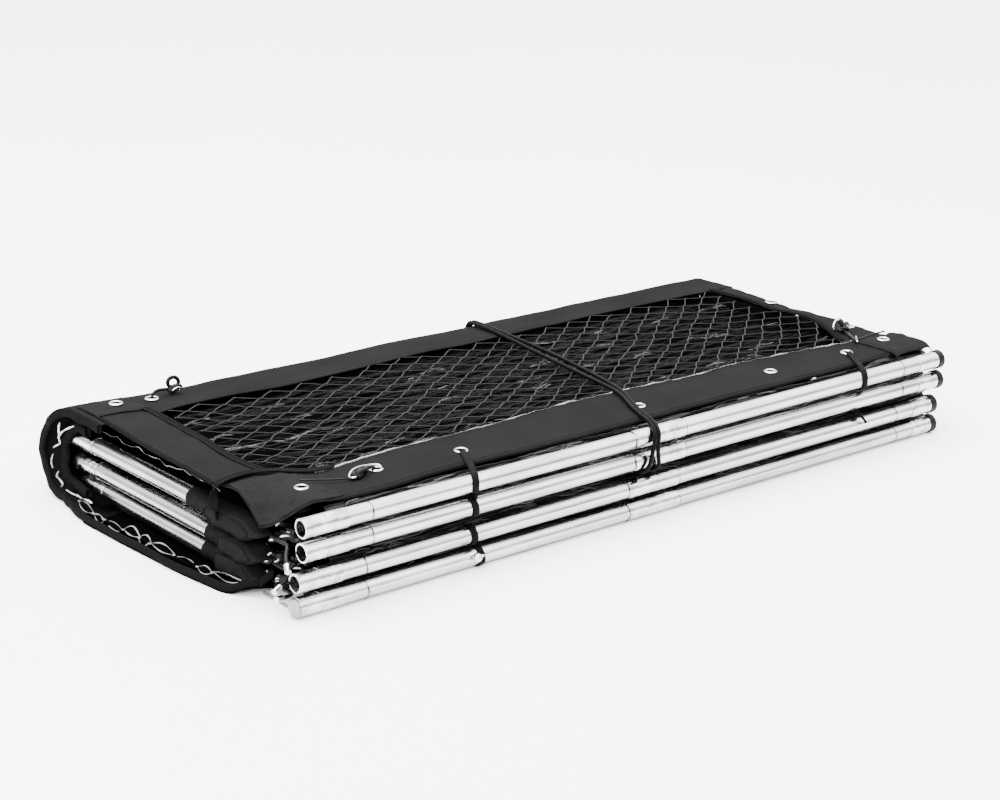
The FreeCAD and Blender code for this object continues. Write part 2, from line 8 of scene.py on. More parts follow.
import bpy
import numpy as np
from mathutils import Matrix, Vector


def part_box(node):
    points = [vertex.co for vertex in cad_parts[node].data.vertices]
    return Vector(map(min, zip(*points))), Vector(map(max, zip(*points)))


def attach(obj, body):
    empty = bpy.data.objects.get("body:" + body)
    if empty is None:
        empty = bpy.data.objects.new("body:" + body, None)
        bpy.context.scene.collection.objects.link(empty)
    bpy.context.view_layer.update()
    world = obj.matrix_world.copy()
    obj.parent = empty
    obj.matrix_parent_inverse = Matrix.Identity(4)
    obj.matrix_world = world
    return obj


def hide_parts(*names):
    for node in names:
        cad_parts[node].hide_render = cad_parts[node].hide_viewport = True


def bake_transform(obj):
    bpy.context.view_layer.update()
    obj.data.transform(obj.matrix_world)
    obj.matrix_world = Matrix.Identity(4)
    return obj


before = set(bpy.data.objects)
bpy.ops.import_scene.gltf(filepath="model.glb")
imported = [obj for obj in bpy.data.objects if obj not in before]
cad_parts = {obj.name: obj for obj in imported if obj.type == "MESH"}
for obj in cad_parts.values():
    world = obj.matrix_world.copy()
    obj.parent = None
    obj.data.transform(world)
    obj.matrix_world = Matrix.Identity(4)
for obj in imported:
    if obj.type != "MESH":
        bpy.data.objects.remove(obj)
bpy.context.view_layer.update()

LOG = logging.getLogger("net_bed")
MM = 0.001
ALL_LAYERS = (1, 2, 3, 4)


class Body(Enum):
    """The moving bodies that cloth and cords ride on."""

    LOWER = "lower_half"
    UPPER = "upper_half"


class Slot(Enum):
    """Names of material slots; the pieces made here do not use them."""

    NICKEL = "bright_nickel"
    RUBBER = "black_rubber"
    ELASTIC = "elastic_band"
    CORD = "shock_cord"
    CLOTH = "woven_cloth"
    NET = "net_cord"


class Space(Enum):
    """Where a finish takes its pattern from."""

    UV = "UV"
    OBJECT = "Object"


# ------------------------------------------------------------------ small sums
def smooth(t: np.ndarray) -> np.ndarray:
    """Smooth step: 0 below 0, 1 above 1, 3t^2 - 2t^3 between."""
    t = np.clip(t, 0.0, 1.0)
    return t * t * (3.0 - 2.0 * t)


def ripple(x: np.ndarray, y: np.ndarray, seed: int, length: float, waves: int = 7) -> np.ndarray:
    """Gentle unevenness: the mean of several sine waves in seeded directions.

    Args:
        x, y: positions in mm.
        seed: which set of waves.
        length: typical wavelength in mm.
        waves: how many are summed.

    Returns:
        Values of about -1 to 1, shaped like x.
    """
    rng = np.random.default_rng(seed)
    total = np.zeros(np.broadcast(x, y).shape)
    for _ in range(waves):
        turn = rng.uniform(0, 2 * math.pi)
        k = 2 * math.pi / (length * rng.uniform(0.6, 1.7))
        total += np.sin(k * (x * math.cos(turn) + y * math.sin(turn)) + rng.uniform(0, 2 * math.pi))
    return total / math.sqrt(waves)


def unit(v: np.ndarray) -> np.ndarray:
    """Vectors scaled to length 1 along the last axis."""
    return v / np.maximum(np.linalg.norm(v, axis=-1, keepdims=True), 1e-9)


def table(x: np.ndarray, points: tuple) -> np.ndarray:
    """Smooth curve through (x, value) pairs: cubic Hermite with slopes from the neighbours.

    Args:
        x: where to read it.
        points: pairs in rising x.

    Returns:
        Values shaped like x, constant past the ends.
    """
    px, py = np.array(points, dtype=float).T
    slope = np.gradient(py, px)
    x = np.clip(x, px[0], px[-1])
    i = np.clip(np.searchsorted(px, x, side="right") - 1, 0, len(px) - 2)
    h = px[i + 1] - px[i]
    t = (x - px[i]) / h
    return ((1 + 2 * t) * (1 - t) ** 2 * py[i] + t * (1 - t) ** 2 * h * slope[i]
            + t * t * (3 - 2 * t) * py[i + 1] + t * t * (t - 1) * h * slope[i + 1])


def spline_curve(name: str, points: list, radius: float = 0.0) -> bpy.types.Object:
    """A curve object of one open NURBS spline with the given control points.

    Args:
        name: the object's name.
        points: control points in mm.
        radius: the tube's radius in mm, 0 for a bare line.

    Returns:
        The curve object, linked to the scene.
    """
    curve = bpy.data.curves.new(name, "CURVE")
    curve.dimensions = "3D"
    curve.resolution_u = 14
    curve.bevel_depth = radius * MM
    curve.bevel_resolution = 5
    curve.use_fill_caps = radius > 0
    spline = curve.splines.new("NURBS")
    spline.points.add(len(points) - 1)
    flat = np.column_stack([np.array(points, dtype=float) * MM, np.ones(len(points))])
    spline.points.foreach_set("co", flat.astype(np.float32).ravel())
    spline.order_u = 3
    spline.use_endpoint_u = True
    holder = bpy.data.objects.new(name, curve)
    bpy.context.scene.collection.objects.link(holder)
    return holder


def spline_line(points: list, step: float = 1.0) -> np.ndarray:
    """Points in mm along the NURBS spline that has the given control points."""
    holder = spline_curve("line_reader", points)
    bpy.context.view_layer.update()
    mesh = bpy.data.meshes.new_from_object(holder.evaluated_get(bpy.context.evaluated_depsgraph_get()))
    co = np.empty(len(mesh.vertices) * 3, dtype=np.float32)
    mesh.vertices.foreach_get("co", co)
    curve = holder.data
    bpy.data.objects.remove(holder)
    bpy.data.curves.remove(curve)
    bpy.data.meshes.remove(mesh)
    return resample(co.reshape(-1, 3).astype(float) / MM, step)


def resample(line: np.ndarray, step: float) -> np.ndarray:
    """Points along a polyline at even spacing, by linear interpolation on its length."""
    gaps = np.linalg.norm(np.diff(line, axis=0), axis=1)
    keep = np.concatenate([[True], gaps > 1e-6])
    line = line[keep]
    run = np.concatenate([[0.0], np.cumsum(np.linalg.norm(np.diff(line, axis=0), axis=1))])
    count = max(3, int(run[-1] / step) + 1)
    at = np.linspace(0, run[-1], count)
    return np.stack([np.interp(at, run, line[:, k]) for k in range(3)], axis=1)


# ------------------------------------------------------------------ mesh making
@dataclass
class Shape:
    """Vertices in mm, faces by corner count, and a UV for each vertex in mm."""

    verts: np.ndarray
    quads: np.ndarray
    tris: np.ndarray = field(default_factory=lambda: np.zeros((0, 3), dtype=int))
    uv: np.ndarray | None = None

    def joined(self, other: "Shape") -> "Shape":
        """This shape and another as one."""
        shift = len(self.verts)
        return Shape(np.vstack([self.verts, other.verts]), np.vstack([self.quads, other.quads + shift]),
                     np.vstack([self.tris, other.tris + shift]), np.vstack([self.uv, other.uv]))

    def to_object(self, name: str) -> bpy.types.Object:
        """Puts the shape into a mesh object at the origin, in metres.

        Args:
            name: the piece's name.

        Returns:
            The new object, linked to the scene.
        """
        mesh = bpy.data.meshes.new(name)
        loops = np.concatenate([self.quads.ravel(), self.tris.ravel()]).astype(np.int32)
        starts = np.concatenate([np.arange(len(self.quads)) * 4,
                                 len(self.quads) * 4 + np.arange(len(self.tris)) * 3]).astype(np.int32)
        mesh.vertices.add(len(self.verts))
        mesh.vertices.foreach_set("co", (self.verts * MM).astype(np.float32).ravel())
        mesh.loops.add(len(loops))
        mesh.loops.foreach_set("vertex_index", loops)
        mesh.polygons.add(len(starts))
        mesh.polygons.foreach_set("loop_start", starts)
        mesh.polygons.foreach_set("use_smooth", np.ones(len(starts), dtype=bool))
        if self.uv is not None:
            layer = mesh.uv_layers.new(name="UVMap")
            layer.data.foreach_set("uv", (self.uv * MM)[loops].astype(np.float32).ravel())
        mesh.update(calc_edges=True)
        piece = bpy.data.objects.new(name, mesh)
        bpy.context.scene.collection.objects.link(piece)
        return piece


def grid_quads(nu: int, nv: int, closed_u: bool = False, closed_v: bool = False) -> np.ndarray:
    """Quads of a grid of nu by nv points, row-major, that face along du x dv."""
    iu = np.arange(nu if closed_u else nu - 1)
    iv = np.arange(nv if closed_v else nv - 1)
    a, b = np.meshgrid(iu, iv, indexing="ij")
    a2, b2 = (a + 1) % nu, (b + 1) % nv
    return np.stack([a * nv + b, a2 * nv + b, a2 * nv + b2, a * nv + b2], axis=-1).reshape(-1, 4)


def sheet_shape(xyz: np.ndarray, uv: np.ndarray, holes: list = (), hole_r: float = 4.6) -> Shape:
    """A grid surface, without the cells whose middle is nearer than hole_r to a hole's centre.

    Args:
        xyz: points, shape (nu, nv, 3).
        uv: flat cloth coordinates in mm, shape (nu, nv, 2).
        holes: (x, y) centres.
        hole_r: how wide each hole is cut.

    Returns:
        The sheet.
    """
    quads = grid_quads(xyz.shape[0], xyz.shape[1])
    verts = xyz.reshape(-1, 3)
    centre = verts[quads].mean(axis=1)[:, :2]
    keep = np.ones(len(quads), dtype=bool)
    for hole in holes:
        keep &= np.linalg.norm(centre - np.array(hole), axis=1) > hole_r
    quads = quads[keep]
    used = np.unique(quads)
    renumber = np.zeros(len(verts), dtype=int)
    renumber[used] = np.arange(len(used))
    return Shape(verts[used], renumber[quads], uv=uv.reshape(-1, 2)[used])


def strands(paths: np.ndarray, radii: np.ndarray, sides: int = 6, ref: tuple = (0.0, 0.0, 1.0),
            flat: float = 1.0) -> Shape:
    """Round rods along many paths at once, each closed at its ends.

    A ring stands square to the path at each point: its side vector is tangent x ref, and its other
    vector is side x tangent. flat scales that other vector.

    Args:
        paths: (m, n, 3) points in mm.
        radii: broadcast to (m, n), in mm.
        sides: corners of a ring.
        ref: a direction that no path runs along.
        flat: height of the section over its width.

    Returns:
        All the rods as one shape.
    """
    m, n, _ = paths.shape
    radii = np.broadcast_to(radii, (m, n))
    tangent = unit(np.gradient(paths, axis=1) if n > 2 else np.repeat(paths[:, 1:] - paths[:, :1], 2, axis=1))
    side = unit(np.cross(tangent, np.array(ref)))
    other = np.cross(side, tangent)
    angle = np.arange(sides) * 2 * math.pi / sides
    ring = (side[:, :, None, :] * np.cos(angle)[None, None, :, None]
            + flat * other[:, :, None, :] * np.sin(angle)[None, None, :, None])
    verts = (paths[:, :, None, :] + ring * radii[:, :, None, None]).reshape(-1, 3)
    base = (np.arange(m) * n * sides)[:, None, None, None]
    i, k = np.meshgrid(np.arange(n - 1), np.arange(sides), indexing="ij")
    k2 = (k + 1) % sides
    cell = np.stack([i * sides + k, (i + 1) * sides + k, (i + 1) * sides + k2, i * sides + k2], axis=-1)
    quads = (base + cell[None]).reshape(-1, 4)
    ends = np.concatenate([paths[:, 0], paths[:, -1]])
    first = len(verts)
    ring_k = np.arange(sides)
    start = (np.arange(m) * n * sides)[:, None] + ring_k[None]
    start2 = (np.arange(m) * n * sides)[:, None] + (ring_k[None] + 1) % sides
    tail = start + (n - 1) * sides
    tail2 = start2 + (n - 1) * sides
    hub_a = np.broadcast_to((first + np.arange(m))[:, None], start.shape)
    hub_b = np.broadcast_to((first + m + np.arange(m))[:, None], start.shape)
    tris = np.concatenate([np.stack([hub_a, start, start2], axis=-1).reshape(-1, 3),
                           np.stack([hub_b, tail2, tail], axis=-1).reshape(-1, 3)])
    run = np.concatenate([np.zeros((m, 1)),
                          np.cumsum(np.linalg.norm(np.diff(paths, axis=1), axis=2), axis=1)],
                         axis=1)
    around = np.broadcast_to(angle[None, None] * radii[:, :, None], (m, n, sides))
    uv = np.stack([around, np.broadcast_to(run[:, :, None], (m, n, sides))], axis=-1).reshape(-1, 2)
    uv = np.vstack([uv, np.zeros((2 * m, 2))])
    return Shape(np.vstack([verts, ends]), quads, tris, uv)


def rod(path: np.ndarray, radius: float | np.ndarray, sides: int = 12, ref: tuple = (0.0, 0.0, 1.0),
        flat: float = 1.0) -> Shape:
    """One rod along a path."""
    return strands(path[None], np.atleast_1d(radius)[None], sides, ref, flat)


def profiled(path: np.ndarray, section: np.ndarray, across: np.ndarray, up: np.ndarray,
             closed: bool = False) -> Shape:
    """A section carried along a path: point + a * across + b * up for each (a, b) of the section.

    Args:
        path: (n, 3) points.
        section: (k, 2) closed outline, anticlockwise seen against the path.
        across, up: (n, 3) or (3,) vectors of each station.
        closed: whether the path joins its own start.

    Returns:
        The swept shape, with its ends closed if the path is open.
    """
    n, k = len(path), len(section)
    across = np.broadcast_to(across, (n, 3))
    up = np.broadcast_to(up, (n, 3))
    verts = path[:, None] + section[None, :, :1] * across[:, None] + section[None, :, 1:] * up[:, None]
    quads = grid_quads(n, k, closed, True)
    run = np.concatenate([[0], np.cumsum(np.linalg.norm(np.diff(path, axis=0), axis=1))])
    rim = np.concatenate([[0], np.cumsum(np.linalg.norm(np.diff(section, axis=0), axis=1))])
    uv = np.stack(np.meshgrid(run, rim, indexing="ij"), axis=-1).reshape(-1, 2)
    shape = Shape(verts.reshape(-1, 3), quads, uv=uv)
    if closed:
        return shape
    hub = len(shape.verts)
    j = np.arange(k)
    j2 = (j + 1) % k
    tris = np.concatenate([np.stack([np.full(k, hub), j, j2], axis=1)[:, ::-1],
                           np.stack([np.full(k, hub + 1), (n - 1) * k + j2, (n - 1) * k + j],
                                    axis=1)[:, ::-1]])
    centre = section.mean(axis=0)
    hubs = np.stack([path[e] + centre[0] * across[e] + centre[1] * up[e] for e in (0, -1)])
    return Shape(np.vstack([shape.verts, hubs]), quads, tris, np.vstack([uv, np.zeros((2, 2))]))


def oblong(width: float, height: float, corner: float, per: int = 5) -> np.ndarray:
    """Outline of a rectangle with rounded corners, anticlockwise, centred on (0, 0)."""
    out = []
    for q, (sx, sy) in enumerate(((1, 1), (-1, 1), (-1, -1), (1, -1))):
        a = np.linspace(0, math.pi / 2, per) + q * math.pi / 2
        out.append(np.stack([sx * (width / 2 - corner) + corner * np.cos(a),
                             sy * (height / 2 - corner) + corner * np.sin(a)], axis=1))
    return np.vstack(out)


def lathe(profile: np.ndarray, centres: np.ndarray, sides: int = 24) -> Shape:
    """A closed (radius, height) outline turned about +Z at each centre."""
    angle = np.arange(sides) * 2 * math.pi / sides
    spun = np.stack([profile[None, :, 0] * np.cos(angle)[:, None],
                     profile[None, :, 0] * np.sin(angle)[:, None],
                     np.broadcast_to(profile[None, :, 1], (sides, len(profile)))], axis=-1).reshape(-1, 3)
    quads = grid_quads(sides, len(profile), True, True)
    m = len(centres)
    verts = (centres[:, None] + spun[None]).reshape(-1, 3)
    all_quads = (quads[None] + (np.arange(m) * len(spun))[:, None, None]).reshape(-1, 4)
    return Shape(verts, all_quads, uv=verts[:, :2])


# ------------------------------------------------------------------ finishes
class Recipe:
    """A material under construction: its nodes, links and main shader."""

    def __init__(self, name: str) -> None:
        """Starts a material with only the main shader set up."""
        self.material = bpy.data.materials.new(name)
        self.material.use_nodes = True
        self.nodes = self.material.node_tree.nodes
        self.links = self.material.node_tree.links
        self.main = self.nodes["Principled BSDF"]

    def set(self, **values: float | tuple) -> None:
        """Sets the main shader's sockets by name, with _ for a space."""
        for key, value in values.items():
            self.main.inputs[key.replace("_", " ")].default_value = value

    def place(self, space: Space, scale: tuple = (1.0, 1.0, 1.0)) -> bpy.types.NodeSocket:
        """Coordinates from a space, scaled."""
        source = self.nodes.new("ShaderNodeTexCoord")
        mapping = self.nodes.new("ShaderNodeMapping")
        mapping.inputs["Scale"].default_value = scale
        self.links.new(source.outputs[space.value], mapping.inputs["Vector"])
        return mapping.outputs["Vector"]

    def noise(self, vector: bpy.types.NodeSocket, scale: float, detail: float = 3.0) -> bpy.types.NodeSocket:
        """A noise pattern's value."""
        node = self.nodes.new("ShaderNodeTexNoise")
        node.inputs["Scale"].default_value = scale
        node.inputs["Detail"].default_value = detail
        self.links.new(vector, node.inputs["Vector"])
        return node.outputs["Fac"]

    def bands(self, vector: bpy.types.NodeSocket, axis: str, period: float) -> bpy.types.NodeSocket:
        """Sine bands with the given period in metres."""
        node = self.nodes.new("ShaderNodeTexWave")
        node.bands_direction = axis
        node.inputs["Scale"].default_value = 2 * math.pi / (20 * period)
        self.links.new(vector, node.inputs["Vector"])
        return node.outputs["Fac"]

    def maths(self, operation: str, a: object, b: object) -> bpy.types.NodeSocket:
        """One sum on two values, each a socket or a number."""
        node = self.nodes.new("ShaderNodeMath")
        node.operation = operation
        for socket, value in zip(node.inputs, (a, b)):
            if isinstance(value, (int, float)):
                socket.default_value = value
            else:
                self.links.new(value, socket)
        return node.outputs[0]

    def spread(self, value: bpy.types.NodeSocket, low: float, high: float, start: float = 0.3,
               end: float = 0.7) -> bpy.types.NodeSocket:
        """A value from start to end mapped to low to high."""
        node = self.nodes.new("ShaderNodeMapRange")
        for key, number in (("From Min", start), ("From Max", end), ("To Min", low), ("To Max", high)):
            node.inputs[key].default_value = number
        self.links.new(value, node.inputs["Value"])
        return node.outputs["Result"]

    def tint(self, value: bpy.types.NodeSocket, dark: tuple, light: tuple) -> None:
        """Base colour between two colours by a value."""
        ramp = self.nodes.new("ShaderNodeValToRGB")
        ramp.color_ramp.elements[0].position = 0.3
        ramp.color_ramp.elements[1].position = 0.7
        ramp.color_ramp.elements[0].color = (*dark, 1.0)
        ramp.color_ramp.elements[1].color = (*light, 1.0)
        self.links.new(value, ramp.inputs["Fac"])
        self.links.new(ramp.outputs["Color"], self.main.inputs["Base Color"])

    def bump(self, height: bpy.types.NodeSocket, strength: float, distance: float) -> None:
        """Bumps the main shader's normal, on top of an earlier bump."""
        node = self.nodes.new("ShaderNodeBump")
        node.inputs["Strength"].default_value = strength
        node.inputs["Distance"].default_value = distance
        self.links.new(height, node.inputs["Height"])
        socket = self.main.inputs["Normal"]
        if socket.is_linked:
            self.links.new(socket.links[0].from_socket, node.inputs["Normal"])
        self.links.new(node.outputs["Normal"], socket)

    def rough(self, value: bpy.types.NodeSocket) -> None:
        """Drives the main shader's roughness."""
        self.links.new(value, self.main.inputs["Roughness"])


def grey(value: float) -> tuple:
    """A neutral grey, faintly cool."""
    return (value, value, value * 1.03)


@dataclass(frozen=True)
class WovenCloth:
    """Matte plain weave with a worn, dusty look on its high threads."""

    name: str
    tone: float = 0.0062
    thread: float = 0.0009
    space: Space = Space.UV
    shine: float = 0.006
    matt: float = 0.6

    def make(self) -> bpy.types.Material:
        """Builds the material."""
        r = Recipe(self.name)
        at = r.place(self.space)
        weave = r.maths("MULTIPLY", r.bands(at, "X", self.thread), r.bands(at, "Y", self.thread))
        grain = r.noise(at, 1400.0, 2.0)
        patch = r.noise(at, 14.0, 5.0)
        fleck = r.noise(at, 160.0, 4.0)
        mix = r.maths("ADD", r.maths("MULTIPLY", grain, 0.45), r.maths("MULTIPLY", patch, 0.3))
        mix = r.maths("ADD", mix, r.maths("MULTIPLY", fleck, 0.25))
        r.tint(mix, grey(self.tone * 0.55), grey(self.tone * 1.6))
        r.rough(r.spread(fleck, self.matt, self.matt + 0.25))
        r.bump(weave, 0.35, 0.00025)
        r.bump(fleck, 0.25, 0.0006)
        r.bump(patch, 0.3, 0.004)
        r.set(Specular_IOR_Level=self.shine)
        return r.material


@dataclass(frozen=True)
class DrawnTube:
    """Bright drawn aluminium with fine lines along the tube and faint handling marks."""

    name: str
    along: str = "X"
    tone: float = 0.54

    def make(self) -> bpy.types.Material:
        """Builds the material."""
        r = Recipe(self.name)
        lines = (3.0, 900.0, 900.0) if self.along == "X" else (900.0, 3.0, 900.0)
        smear = (14.0, 120.0, 120.0) if self.along == "X" else (120.0, 14.0, 120.0)
        streak = r.noise(r.place(Space.OBJECT, lines), 1.0, 4.0)
        mark = r.noise(r.place(Space.OBJECT, smear), 1.0, 3.0)
        scratch = r.noise(r.place(Space.OBJECT, (60.0, 60.0, 60.0)), 1.0, 8.0)
        mix = r.maths("ADD", r.maths("MULTIPLY", streak, 0.55), r.maths("MULTIPLY", mark, 0.45))
        r.tint(mix, grey(self.tone * 0.42), grey(min(1.0, self.tone * 1.35)))
        r.rough(r.spread(r.maths("ADD", r.maths("MULTIPLY", streak, 0.5), r.maths("MULTIPLY", mark, 0.5)),
                         0.15, 0.34))
        r.bump(streak, 0.12, 0.00012)
        r.bump(scratch, 0.05, 0.0004)
        r.set(Metallic=1.0)
        return r.material


@dataclass(frozen=True)
class BrightMetal:
    """Polished metal with a slightly beaten, smudged skin."""

    name: str
    tone: float = 0.56
    low: float = 0.1
    high: float = 0.28
    dent: float = 0.0008

    def make(self) -> bpy.types.Material:
        """Builds the material."""
        r = Recipe(self.name)
        at = r.place(Space.OBJECT)
        smudge = r.noise(at, 90.0, 5.0)
        dents = r.noise(at, 160.0, 1.0)
        fine = r.noise(at, 1500.0, 3.0)
        r.tint(smudge, grey(self.tone * 0.6), grey(self.tone * 1.25))
        r.rough(r.spread(smudge, self.low, self.high))
        r.bump(dents, 0.35, self.dent)
        r.bump(fine, 0.08, 0.0001)
        r.set(Metallic=1.0)
        return r.material


@dataclass(frozen=True)
class Rubber:
    """Dull black rubber with mould marks and bloom."""

    name: str
    tone: float = 0.002
    shine: float = 0.42
    level: float = 0.08

    def make(self) -> bpy.types.Material:
        """Builds the material."""
        r = Recipe(self.name)
        at = r.place(Space.OBJECT)
        bloom = r.noise(at, 70.0, 6.0)
        pits = r.noise(at, 1100.0, 2.0)
        r.tint(bloom, grey(self.tone * 0.6), grey(self.tone * 1.7))
        r.rough(r.spread(bloom, self.shine - 0.08, self.shine + 0.2))
        r.bump(pits, 0.2, 0.0002)
        r.set(Specular_IOR_Level=self.level)
        return r.material


@dataclass(frozen=True)
class Braid:
    """Braided cover: threads that cross on the slant round a cord or along an elastic."""

    name: str
    tone: float = 0.0016
    pitch: float = 0.0011
    shine: float = 0.4
    space: Space = Space.UV

    def make(self) -> bpy.types.Material:
        """Builds the material."""
        r = Recipe(self.name)
        at = r.place(self.space, (1.0, 1.0, 1.0))
        cross = r.maths("MULTIPLY", r.bands(at, "DIAGONAL", self.pitch), r.bands(at, "Y", self.pitch * 1.3))
        wear = r.noise(at, 220.0, 4.0)
        r.tint(r.maths("ADD", r.maths("MULTIPLY", cross, 0.5), r.maths("MULTIPLY", wear, 0.5)),
               grey(self.tone * 0.45), grey(self.tone * 2.0))
        r.rough(r.spread(wear, self.shine - 0.1, self.shine + 0.18))
        r.bump(cross, 0.5, 0.0003)
        r.set(Specular_IOR_Level=0.03)
        return r.material


@dataclass(frozen=True)
class Twine:
    """Twisted net twine, dusty grey over black."""

    name: str
    tone: float = 0.06
    shine: float = 0.5
    level: float = 0.5

    def make(self) -> bpy.types.Material:
        """Builds the material."""
        r = Recipe(self.name)
        at = r.place(Space.OBJECT)
        wear = r.noise(at, 45.0, 5.0)
        fibre = r.noise(at, 2600.0, 2.0)
        mix = r.maths("ADD", r.maths("MULTIPLY", wear, 0.7), r.maths("MULTIPLY", fibre, 0.3))
        r.tint(mix, grey(self.tone * 0.5), grey(self.tone * 1.5))
        r.rough(r.spread(wear, self.shine - 0.12, self.shine + 0.2))
        r.bump(fibre, 0.4, 0.0002)
        r.set(Specular_IOR_Level=self.level)
        return r.material


@dataclass(frozen=True)
class PaleFloor:
    """Plain pale studio floor."""

    name: str = "studio_floor"

    def make(self) -> bpy.types.Material:
        """Builds the material."""
        r = Recipe(self.name)
        tone = r.noise(r.place(Space.OBJECT), 3.0, 2.0)
        r.tint(tone, (0.93, 0.93, 0.93), (0.95, 0.95, 0.95))
        r.set(Roughness=0.7, Specular_IOR_Level=0.1)
        return r.material


@dataclass
class Finishes:
    """Every material of the bed, made once."""

    def __post_init__(self) -> None:
        """Builds them all."""
        self.cloth = WovenCloth("border_cloth").make()
        self.patch = WovenCloth("corner_patch_cloth", tone=0.007, thread=0.0013, shine=0.009).make()
        self.binding = WovenCloth("edge_binding_cloth", tone=0.0034, thread=0.0011, shine=0.006).make()
        # Darker copy of the border cloth for pieces inside and under the pack, and for the cups in the
        # eyelets: its low tone is painted shade.
        self.shaded_cloth = WovenCloth("inner_cloth_shaded", tone=0.0009, shine=0.002).make()
        # Darker copy of the border cloth for the crumpled edges between the poles and at the corner: its low
        # tone is painted shade.
        self.crumple = WovenCloth("crumpled_edge_cloth_shaded", tone=0.0014, shine=0.14, matt=0.34).make()
        self.pocket = WovenCloth("corner_pocket_cloth", tone=0.0045, thread=0.0012, shine=0.012,
                                 space=Space.OBJECT).make()
        # Lighter twine for strands that stand for dim glints on the gathered net and the crumpled edges:
        # painted highlights.
        self.dim_glint = Twine("net_dim_glint", tone=0.07, shine=0.35, level=0.25).make()
        self.cloth_cad = WovenCloth("border_cloth_plain", space=Space.OBJECT).make()
        self.thread = Twine("sewing_thread", tone=0.016, level=0.02).make()
        # Pale twine: the front strip's light cut edge, partly a painted highlight there too, and painted
        # highlights on the loose net at the left end.
        self.pale_edge_and_glint = Twine("pale_edge_and_glint_twine", tone=0.15, shine=0.4, level=0.25).make()
        self.net = Twine("net_twine", tone=0.014, level=0.1).make()
        # Darker copy of the net twine for the gathered net inside the pack: its low tone is painted shade.
        self.dark_net = Twine("gathered_net_twine_shaded", tone=0.0062, shine=0.45, level=0.04).make()
        # Bright twine for strands that stand for glints on the black net: painted highlights.
        self.glint = Twine("net_glint", tone=0.5, shine=0.3).make()
        self.long_tube = DrawnTube("drawn_tube_long").make()
        self.short_tube = DrawnTube("drawn_tube_short", along="Y", tone=0.46).make()
        self.fitting = BrightMetal("polished_fitting", dent=0.0014).make()
        self.nickel = BrightMetal("bright_nickel_finish", tone=0.62, low=0.08, high=0.2, dent=0.0004).make()
        self.rubber = Rubber("black_rubber_finish").make()
        self.elastic = Braid("flat_elastic", tone=0.0018, pitch=0.0014, shine=0.6).make()
        self.cord = Braid("shock_cord_cover").make()
        self.cord_cad = Braid("shock_cord_cover_plain", space=Space.OBJECT).make()
        self.glossy = Rubber("glossy_cord_cover", tone=0.002, shine=0.3, level=0.09).make()
        self.plug = BrightMetal("satin_plug", tone=0.3, low=0.3, high=0.5).make()


def finish_piece(piece: bpy.types.Object, material: bpy.types.Material, body: Body | None = None,
                 stands_for: tuple = ()) -> bpy.types.Object:
    """Gives a piece its material and its body, and hides the CAD nodes it stands for."""
    piece.data.materials.append(material)
    if body is not None:
        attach(piece, body.value)
    if stands_for:
        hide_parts(*stands_for)
    return piece


def thicken(piece: bpy.types.Object, thickness: float, offset: float = -1.0) -> bpy.types.Object:
    """Gives a sheet its thickness in mm."""
    solid = piece.modifiers.new("cloth_thickness", "SOLIDIFY")
    solid.thickness = thickness * MM
    solid.offset = offset
    solid.use_even_offset = False
    return piece


def flat_size(xyz: np.ndarray) -> tuple:
    """Width and length of a grid sheet in metres: the mean lengths of its lines each way."""
    du = np.linalg.norm(np.diff(xyz, axis=0), axis=2).sum(axis=0).mean()
    dv = np.linalg.norm(np.diff(xyz, axis=1), axis=2).sum(axis=1).mean()
    return (float(du) * MM, float(dv) * MM)


def stitches(line: np.ndarray, lift: float = 0.25, pitch: float = 3.4, length: float = 2.3,
             width: float = 0.42) -> Shape:
    """Sewing stitches along a line: short spindles, thick in the middle and thin at both ends."""
    dense = resample(line, pitch)
    heading = unit(np.gradient(dense, axis=0))
    middle = dense + np.array([0, 0, lift])
    along = np.array([-0.5, -0.3, 0.3, 0.5])[None, :, None] * length
    paths = middle[:, None] + heading[:, None] * along
    paths[:, (0, 3), 2] -= lift * 0.8
    return strands(paths, np.array([[0.12, width / 2, width / 2, 0.12]]) * np.ones((len(paths), 1)), 4,
                   ref=(0.3, 0.2, 1.0))


